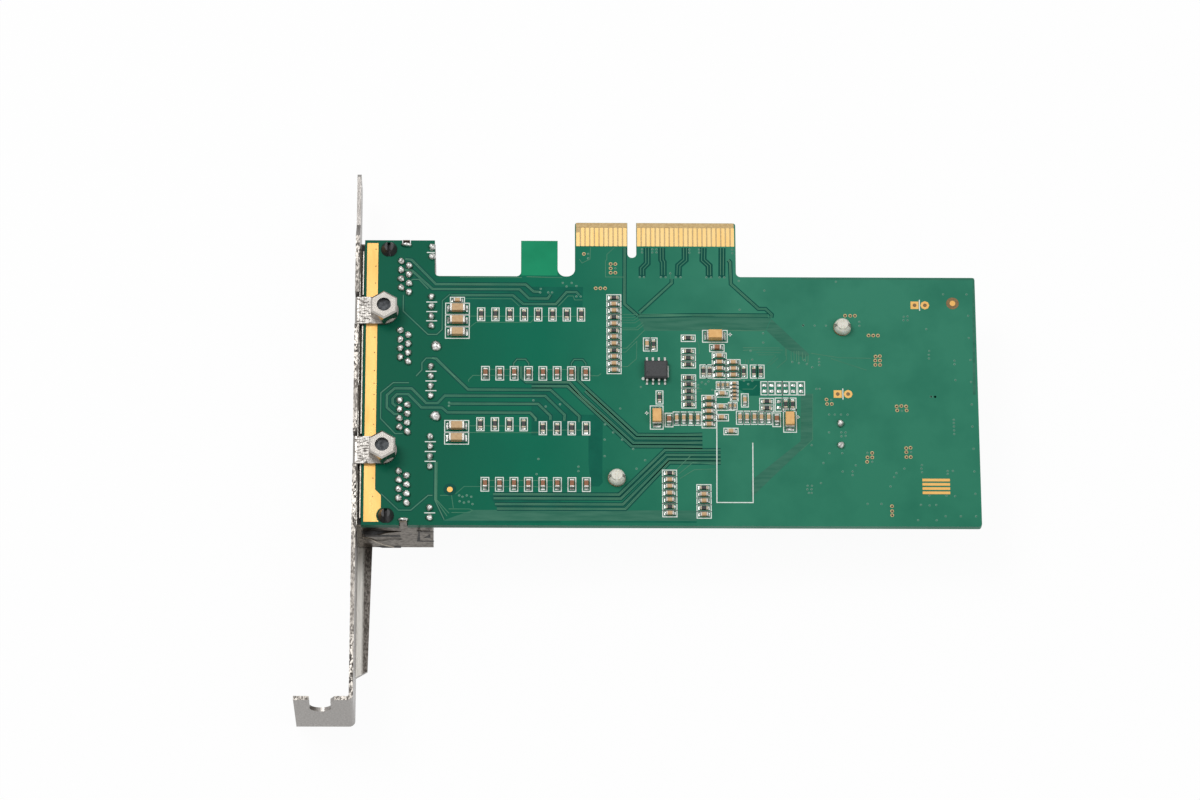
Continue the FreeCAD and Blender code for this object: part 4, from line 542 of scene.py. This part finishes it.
SILK_LINES = """
13.2,61.7 14.9,61.7; 13.2,50.3 15.5,50.3; 13.2,48.1 15.5,48.1; 13.2,46.0 15.5,46.0;
13.2,34.5 15.5,34.5; 13.2,32.3 15.5,32.3; 13.2,30.1 15.5,30.1; 13.2,18.6 15.5,18.6;
13.2,16.4 15.5,16.4; 13.2,14.2 15.5,14.2; 13.2,2.7 15.5,2.7; 78.5,25.9 74.7,25.9 74.5,5.2
82.1,5.2 82.2,18.6; 64.5,35.9 64.5,33.3; 59.5,25.2 60.3,25.2; 59.9,24.8 59.9,25.6;
77.3,43.1 78.1,43.1; 77.7,42.7 77.7,43.5; 91.4,24.4 92.2,24.4; 91.8,24.0 91.8,24.8;
101.4,30.9 101.4,28.4; 118.1,51.2 118.1,48.7
"""
STRIP_HOLES = (62.4, 58.5, 54.6, 42.2, 38.7, 34.6, 31.7, 29.2, 25.9, 22.5, 10.4, 6.3)
EMPTY_PADS = "84.8,30.9 86.3,30.9 87.9,30.9 89.3,30.9 90.9,30.9 92.6,30.9 87.8,27.2"
STRIP_MIDDLE = 2.38
STUB = ((33.32, 56.5), (41.08, 56.5), (41.08, 64.48), (33.32, 64.48))
CONTACT_ROWS, CONTACT_ENDS = ((45.0, 55.95), (57.97, 78.75)), (63.35, 67.6)
CONTACT_BEVEL = ((67.62, 0.012), (68.86, -0.40), (68.86, -0.45), (67.62, -0.04))
# the clear ring round each of the two aiming marks
FIDUCIAL_RADIUS = 1.35
FIDUCIALS = ((18.53, 7.93, "gap"), (125.14, 50.41, "brown_hole_and_pin_shadow"))
PIN_1_RING = (59.2, 33.0)

# Flat marks start inside the board. Each layer has its own height, so that it shares no plane with
# a layer it lies over. Rows of one layer that cross do share theirs.
SUNK = -0.01
SHADE_TOP, COPPER_TOP, STUB_TOP, BEVEL_TOP, FIDUCIAL_TOP = 0.006, 0.008, 0.005, 0.012, 0.02
# lines, width and height of the dark gap, width and height of each line, the lines' offsets
ROUTES = ((DOUBLE_TRACES, 0.95, 0.010, 0.17, 0.018, (-0.13, 0.13)),
          (FINGER_TRACES, 1.5, 0.010, 0.17, 0.018, (-0.3, 0.3)),
          (SINGLE_TRACES, 0.6, 0.012, 0.22, 0.019, (0,)))
THIN_WIDTH, THIN_TOP = 0.15, 0.020
# places, then look, radius, height and corners of the ring and of the bore
VIAS = ((RING_VIAS, ("via_gold", 0.4, 0.022, 12), ("via_dark", 0.22, 0.026, 12)),
        (SMALL_VIAS, ("via", 0.25, 0.023, 10), ("hole", 0.12, 0.027, 8)))
BORE_SHIFT = (0.02, -0.03)
STRIP_HOLE_RADIUS, STRIP_HOLE_TOP = 0.14, 0.045
# bare pads of this size have a bore
BORED_PAD, PAD_BORE_RADIUS, PAD_BORE_RISE = (1.5, 2.5), 0.42, 0.008
# the dark landing at the end of each line from the edge contacts
LANDING_HALF, LANDING_DOWN, LANDING_UP, LANDING_TOP = 0.75, 0.55, 0.5, 0.011


def lines(text):
    """Rows of points from text: x,y pairs, with semicolons between the rows."""
    return [[tuple(float(value) for value in pair.split(",")) for pair in row.split()]
            for row in text.split(";")]


def make_artwork():
    """Copper under the mask, bare laminate beside it, vias, holes and the contacts' bevel."""
    art = Solid("via_gold", "via_dark", "shade", "laminate", "gap", "copper", "trace", "via",
                "hole", "brown_hole_and_pin_shadow", "bevel")
    for outline in lines(BARE_FIELDS):
        art.prism(outline, SUNK, SHADE_TOP, "shade")
    for outline in lines(COPPER_FIELDS):
        art.prism(outline, SUNK, COPPER_TOP, "copper")
    art.prism(STUB, SUNK, STUB_TOP, "laminate")
    for y in STRIP_HOLES:
        art.disc(STRIP_MIDDLE, y, STRIP_HOLE_RADIUS, 0.0, STRIP_HOLE_TOP, "brown_hole_and_pin_shadow", 8)
    for text, gap, gap_top, width, top, offsets in ROUTES:
        for row in lines(text):
            art.strip(row, gap, SUNK, gap_top, "gap")
            for offset in offsets:
                art.strip(shifted(row, offset), width, SUNK, top, "trace")
    for row in lines(THIN_TRACES):
        art.strip(row, THIN_WIDTH, SUNK, THIN_TOP, "trace")
    for text, (ring, ring_radius, ring_top, ring_count), (bore, radius, top, count) in VIAS:
        for x, y in lines(text)[0]:
            art.disc(x, y, ring_radius, SUNK, ring_top, ring, ring_count)
            art.disc(x + BORE_SHIFT[0], y + BORE_SHIFT[1], radius, SUNK, top, bore, count)
    for row in lines(FINGER_TRACES):
        x, y = row[-1]
        left, right = x - LANDING_HALF, x + LANDING_HALF
        down, up = y - LANDING_DOWN, y + LANDING_UP
        art.prism([(left, down), (right, down), (right, up), (left, up)], SUNK, LANDING_TOP,
                  "gap")
    for x, y, size_x, _, _, high in lumps("bare_pads"):
        if BORED_PAD[0] < size_x < BORED_PAD[1]:
            art.disc(x, y, PAD_BORE_RADIUS, high - 0.02, high + PAD_BORE_RISE, "brown_hole_and_pin_shadow")
    for x, y, look in FIDUCIALS:
        art.disc(x, y, FIDUCIAL_RADIUS, SUNK, FIDUCIAL_TOP, look, 24)
    for start, end in CONTACT_ROWS:
        down, up = CONTACT_ENDS
        art.prism([(start, down), (end, down), (end, up), (start, up)], SUNK, BEVEL_TOP, "bevel")
        art.rings([[(x, y, z) for y, z in CONTACT_BEVEL] for x in (start, end)], "bevel")
    art.piece("board_artwork", "solder_mask")


# ---- chip parts --------------------------------------------------------------------------------

# look, length of the solder toe, gap from part to white frame at its ends and along its sides
SMALL_PARTS = {
    "chip_resistors_0603": ("resistor", 0.42, 0.69, 0.33),
    "chip_capacitors_0603": ("tan", 0.42, 0.69, 0.33),
    "chip_resistors_0805": ("resistor", 0.42, 0.62, 0.32),
    "chip_capacitors_0805": ("brown", 0.42, 0.66, 0.34),
    "chip_capacitors_1206": ("tan", 0.6, 0.92, 0.5),
    "chip_capacitors_0402": ("tan", 0.2, 0.32, 0.2),
    "tantalum_capacitors": ("tantalum", 0.6, 0.92, 0.4),
    "component_side_chips": ("tan", 0.42, 0.69, 0.33),
}
# the drawn length and width where the real part is slimmer than its solid
SLIMMER = {"tantalum_capacitors": (3.4, 1.9), "chip_resistors_0805": (1.7, 0.9),
           "chip_capacitors_0805": (1.75, 0.95)}
FRAME_WIDTH, FRAME_TOP = 0.2, 0.028
LINE_WIDTH, LINE_TOP = 0.22, 0.03
# a part that reaches below this is on the component side, which has no white frames
UNDERSIDE = -0.5
EMPTY_FRAME = (0.72, 1.5)
EMPTY_PAD, EMPTY_PAD_SHIFT = (0.42, 0.36), 0.68
# a part longer than this has short ends; each part sits off its place by up to DRIFT
LONG_PART = 3
DRIFT = 0.03
# shares of the part's height the solder climbs, and of the toe it runs out
CLIMB, RUN = (0.45, 0.6), (0.9, 1.05)


def part_lumps(node):
    """The boxes of a node's chip parts, slimmer where the drawn part is."""
    for x, y, size_x, size_y, low, high in lumps(node):
        if node in SLIMMER:
            long, short = SLIMMER[node]
            size_x, size_y = (long, short) if size_x > size_y else (short, long)
        yield x, y, size_x, size_y, low, high


def make_silk():
    """White lines, and a frame round each part and unused pair of pads on the solder side."""
    silk = Solid("silk")
    for row in lines(SILK_LINES):
        silk.strip(row, LINE_WIDTH, SUNK, LINE_TOP, "silk")
    for node, (_, _, end_gap, side_gap) in SMALL_PARTS.items():
        for x, y, size_x, size_y, low, _ in part_lumps(node):
            if low < UNDERSIDE:
                continue
            gap_x, gap_y = (end_gap, side_gap) if size_x > size_y else (side_gap, end_gap)
            silk.frame(x, y, size_x / 2 + gap_x, size_y / 2 + gap_y, FRAME_WIDTH, SUNK, FRAME_TOP,
                       "silk")
    for x, y in lines(EMPTY_PADS)[0]:
        silk.frame(x, y, *EMPTY_FRAME, FRAME_WIDTH, SUNK, FRAME_TOP, "silk")
    silk.disc(*PIN_1_RING, 0.35, SUNK, LINE_TOP, "silk")
    silk.piece("silk_ink", "solder_mask")


def small_part(solid, lump, body, toe):
    """A chip with its two plated ends and the solder that climbs them."""
    x, y, size_x, size_y, low, high = lump
    side = 1 if high > 0 else -1
    base = 0.0 if side > 0 else high
    tall = high - low if side < 0 else high
    length, width = max(size_x, size_y), min(size_x, size_y)
    along_x = size_x > size_y
    drift = [rng.uniform(-DRIFT, DRIFT), rng.uniform(-DRIFT, DRIFT)]

    def place(u, v, h):
        """u along the part, v across it, h up from the board."""
        u, v = u + drift[0], v + drift[1]
        return (x + (u if along_x else v), y + (v if along_x else u), base + side * h)

    def block(start, end, half, bottom, top, round_off, look):
        """A box with its upper edges taken off."""
        rings = []
        for height, inset in ((bottom, 0), (top - round_off, 0), (top, round_off)):
            rings.append([place(start + inset, -half + inset, height),
                          place(end - inset, -half + inset, height),
                          place(end - inset, half - inset, height),
                          place(start + inset, half - inset, height)])
        solid.rings(rings, look)

    cap_share, cap_rise = (0.09, 0.62) if body == "tantalum" else (0.2, 1.0)
    cap = length * (0.14 if body == "tan" and length > LONG_PART else cap_share)
    edge = min(0.07, tall * 0.15)
    block(-length / 2 + cap * 0.9, length / 2 - cap * 0.9, width / 2 - 0.03, 0.04, tall * 0.97,
          edge, body)
    for end in (-1, 1):
        near, far = sorted((end * length / 2, end * (length / 2 - cap)))
        block(near, far, width / 2, 0.02, tall * cap_rise, edge,
              "cap_tan" if body == "resistor" else "cap")
        climb = tall * rng.uniform(*CLIMB)
        run = toe * rng.uniform(*RUN)
        slope = [(-0.03, 0.0), (run, 0.0), (run * 0.97, 0.05), (run * 0.42, climb * 0.35),
                 (0.02, climb)]
        solid.rings([[place(end * (length / 2 + u), v * (1 - 0.12 * (u > 0.1)), h)
                      for u, h in slope] for v in (-width / 2 - 0.02, width / 2 + 0.02)], "solder")


def make_small_parts():
    """The chip parts of both faces, and the solder on the pads that carry none."""
    slots = {"resistor": "resistor_black", "tan": "ceramic_tan", "brown": "ceramic_brown",
             "tantalum": "tantalum_tan"}
    for node, (body, toe, _, _) in SMALL_PARTS.items():
        solid = Solid(body, "cap", "cap_tan", "solder")
        for lump in part_lumps(node):
            small_part(solid, lump, body, toe)
        solid.piece(node + "_detailed", slots[body], node)
    pads = Solid("solder")
    wide, deep = EMPTY_PAD
    outline = ((-wide, -deep), (wide, -deep), (wide, deep), (-wide, deep))
    for x, y in lines(EMPTY_PADS)[0]:
        for shift in (-EMPTY_PAD_SHIFT, EMPTY_PAD_SHIFT):
            pads.rings([[(x + u * grow, y + shift + v * grow, z) for u, v in outline]
                        for z, grow in ((SUNK, 1.0), (0.05, 1.0), (0.12, 0.7))], "solder", True)
    pads.piece("unused_pads", "solder")


# ---- solder, push pins and the shield's end wall ------------------------------------------------

# share of the joint's radius, share of its height
DOME = ((1.0, 0.0), (1.0, 0.12), (0.95, 0.3), (0.86, 0.5), (0.72, 0.68), (0.53, 0.83),
        (0.3, 0.95), (0.12, 1.0))
DOME_LEAN, DOME_SWELL, DOME_TALL = 0.07, (0.04, 0.1), (0.92, 1.06)
# nodes of solder joints, and how wide each is drawn against its solid
JOINTS = {"jack_solder_joints": 1.0, "lamp_solder_joints": 0.95, "crystal_solder_joints": 1.0,
          "shield_solder_joints": 0.95}
# a joint longer than this in y is drawn at least as long as it is wide
ROUND_JOINT = 1.3


def solder_dome(solid, x, y, radius_x, radius_y, tall, count=18):
    """A joint whose solder is a little uneven and leans a little."""
    lean = Vector((rng.uniform(-DOME_LEAN, DOME_LEAN), rng.uniform(-DOME_LEAN, DOME_LEAN)))
    phase, swell = rng.uniform(0, math.tau), rng.uniform(*DOME_SWELL)
    tall *= rng.uniform(*DOME_TALL)
    rings = []
    for share, height in DOME:
        ring = []
        for i in range(count):
            angle = math.tau * i / count
            uneven = share * (1 + swell * (1 - height) * math.sin(2 * angle + phase)
                              + 0.05 * math.sin(3 * angle - phase))
            ring.append((x + radius_x * uneven * math.cos(angle) + lean.x * height,
                         y + radius_y * uneven * math.sin(angle) + lean.y * height,
                         tall * height if height else SUNK))
        rings.append(ring)
    solid.rings(rings, "solder", True)


def make_solder():
    for node, grow in JOINTS.items():
        solid = Solid("solder")
        for x, y, size_x, size_y, _, high in lumps(node):
            wide = size_x / 2 * grow
            long = max(size_y / 2, wide) if size_y > ROUND_JOINT else size_y / 2
            solder_dome(solid, x, y, wide, long, high)
        solid.piece(node + "_detailed", "solder", node)


# radius and height up a push pin's head; inner end, middle and outer end of its splits
PIN_PROFILE = ((1.78, 0.1), (1.8, 0.7), (1.66, 1.35), (1.3, 1.85), (0.75, 2.12), (0.3, 2.2))
PIN_SPLIT, SPLIT_HALF, SPLIT_DEPTH = ((0.95, 2.07), (1.4, 1.78), (1.72, 1.28)), 0.12, 0.5
# radius and height of the brown disc at the head's foot, a painted shadow
PIN_SHADOW = (1.86, 0.3)


def make_pin_heads():
    """The round split heads of the heat sink's push pins, on the solder side."""
    heads = Solid("nylon", "split", "brown_hole_and_pin_shadow")
    for x, y, *_ in lumps("heat_sink_push_pins"):
        # a painted shadow: a brown disc under the head, set a little towards -x
        heads.disc(x - 0.05, y, PIN_SHADOW[0], 0.0, PIN_SHADOW[1], "brown_hole_and_pin_shadow", 20)
        heads.rings([[(px, py, z) for px, py in circle(x, y, radius, 20)]
                     for radius, z in PIN_PROFILE], "nylon", True)
        # the splits: grey prisms set into the dome, painted shade in the gaps
        for side in (-1, 1):
            for lean in (-0.5, 0.25):
                rings = []
                for out, rise in PIN_SPLIT:
                    middle = y + lean * out * 0.3
                    low, high = middle - SPLIT_HALF, middle + SPLIT_HALF
                    rings.append([(x + side * out, along, z) for along, z in (
                        (low, rise - SPLIT_DEPTH), (high, rise - SPLIT_DEPTH),
                        (high, rise), (low, rise))])
                heads.rings(rings, "split")
    heads.piece("push_pin_heads", "pin_nylon")


# x and z in the board's millimetres
END_SLOTS = (((0.7, -3.9), (8.2, -4.1), (8.2, -5.1), (0.7, -5.1)),
             ((2.6, -11.0), (8.2, -10.8), (8.2, -12.1), (4.2, -12.1)))
END_FINGER = ((0.3, -5.2), (1.6, -6.0), (3.2, -8.2), (5.0, -10.2), (6.8, -11.4))
END_WINDOW = (((12.0, -1.8), (15.2, -1.8), (15.2, -2.2), (12.0, -2.2)),
              ((11.6, -7.6), (15.2, -7.6), (15.2, -8.1), (11.6, -8.1)),
              ((12.0, -2.2), (12.3, -2.2), (12.3, -7.6), (11.6, -7.6)),
              ((13.0, -5.8), (14.5, -3.4), (14.5, -5.8)))
SHIELD_LIP = ((-0.42, -2.0), (-0.08, -2.0), (-0.08, -0.15), (-0.14, 0.0), (-0.36, 0.0),
              (-0.42, -0.1))
LIP_RUNS = ((1.6, 13.4), (20.4, 44.9), (51.9, 61.9))


def make_end_marks():
    """Painted shadow in the slots and latch window of the shield's lower end wall; painted
    highlights on its spring finger and front lip.
    """
    low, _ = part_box("jack_shield")
    wall = (low.y - BOARD_LOW.y) / MM
    inside = wall + 0.02
    slots, fingers = (inside, wall - 0.03), (inside, wall - 0.05)
    marks = Solid("slot_dark", "tin_painted_highlight", "tin_lip_painted_highlight")
    for outline in END_SLOTS:
        marks.across(outline, slots, "slot_dark")
    for start, end in zip(END_FINGER, END_FINGER[1:]):
        marks.across([start, end, (end[0] - 0.15, end[1] - 0.55),
                      (start[0] - 0.15, start[1] - 0.55)], fingers, "tin_painted_highlight")
    for outline in END_WINDOW:
        marks.across(outline, slots, "slot_dark")
    for run in LIP_RUNS:
        marks.across(SHIELD_LIP, run, "tin_lip_painted_highlight")
    marks.piece("shield_end_marks", "shield_tin")


make_end_marks()
make_pin_heads()
make_artwork()
make_silk()
make_small_parts()
make_solder()


# ---- stage, light and camera ------------------------------------------------------------------

# lengths in metres
FLOOR_HALF, FLOOR_DROP = 4.0, -0.0002
FLOOR_GLOW = 0.95
WORLD_DIM, WORLD_FULL = 0.45, 1.0
# name, place and size in metres, power
LIGHTS = (("key", (-0.45, 0.35, 0.9), (0.5, 0.5), 5.0),
          ("fill", (0.6, -0.2, 0.8), (0.4, 0.6), 2.2))
# the place in the board's millimetres and the turn in radians, fitted to points in the photo
CAMERA_PLACE = (33.191, -358.396, 1006.06)
CAMERA_TURN = (0.3668, -0.0158, -0.0025)
CAMERA_SENSOR, CAMERA_LENS = 36.0, 153.2


def seen_directly(tree):
    """1 for rays from the camera or off a glossy face, 0 for the rays that light the card."""
    ray = tree.nodes.new("ShaderNodeLightPath")
    either = tree.nodes.new("ShaderNodeMath")
    either.operation = "MAXIMUM"
    tree.links.new(ray.outputs["Is Camera Ray"], either.inputs[0])
    tree.links.new(ray.outputs["Is Glossy Ray"], either.inputs[1])
    return either.outputs[0]


def make_stage():
    """A wide pale floor that glows where it is seen, so that only soft shadows show on it."""
    floor = bpy.data.meshes.new("floor")
    corners = [(x * FLOOR_HALF, y * FLOOR_HALF, FLOOR_DROP)
               for x, y in ((-1, -1), (1, -1), (1, 1), (-1, 1))]
    floor.from_pydata(corners, [], [(0, 1, 2, 3)])
    floor_object = bpy.data.objects.new("floor", floor)
    bpy.context.collection.objects.link(floor_object)
    material = bpy.data.materials.new("pale_floor")
    material.use_nodes = True
    nodes, links = material.node_tree.nodes, material.node_tree.links
    matt = nodes["Principled BSDF"]
    matt.inputs["Base Color"].default_value = (0.86, 0.86, 0.86, 1)
    matt.inputs["Roughness"].default_value = 0.9
    glow = nodes.new("ShaderNodeEmission")
    glow.inputs["Strength"].default_value = 1.0
    share = nodes.new("ShaderNodeMath")
    share.operation = "MULTIPLY"
    share.inputs[1].default_value = FLOOR_GLOW
    links.new(seen_directly(material.node_tree), share.inputs[0])
    mix = nodes.new("ShaderNodeMixShader")
    links.new(share.outputs[0], mix.inputs[0])
    links.new(matt.outputs[0], mix.inputs[1])
    links.new(glow.outputs[0], mix.inputs[2])
    links.new(mix.outputs[0], nodes["Material Output"].inputs["Surface"])
    floor.materials.append(material)


def area_light(name, place, size, power):
    """A rectangular light aimed at the middle of the card."""
    data = bpy.data.lights.new(name, "AREA")
    data.shape = "RECTANGLE"
    data.size, data.size_y = size
    data.energy = power
    lamp = bpy.data.objects.new(name, data)
    bpy.context.collection.objects.link(lamp)
    lamp.location = place
    lamp.rotation_euler = (-Vector(place)).to_track_quat("-Z", "Y").to_euler()


def make_light():
    """A white world, full where it is seen and dimmer where it lights, and two area lights."""
    world = bpy.data.worlds.new("studio")
    bpy.context.scene.world = world
    world.use_nodes = True
    tree = world.node_tree
    background = tree.nodes["Background"]
    background.inputs["Color"].default_value = (1, 1, 1, 1)
    level = tree.nodes.new("ShaderNodeMapRange")
    level.inputs["To Min"].default_value = WORLD_DIM
    level.inputs["To Max"].default_value = WORLD_FULL
    tree.links.new(seen_directly(tree), level.inputs["Value"])
    tree.links.new(level.outputs["Result"], background.inputs["Strength"])
    for light in LIGHTS:
        area_light(*light)


def make_camera():
    data = bpy.data.cameras.new("camera")
    data.sensor_width = CAMERA_SENSOR
    data.lens = CAMERA_LENS
    data.clip_start, data.clip_end = 0.05, 20.0
    camera = bpy.data.objects.new("camera", data)
    bpy.context.collection.objects.link(camera)
    camera.location = at(*CAMERA_PLACE)
    camera.rotation_euler = CAMERA_TURN
    bpy.context.scene.camera = camera


make_stage()
make_light()
make_camera()
bpy.context.scene.view_settings.view_transform = "Standard"
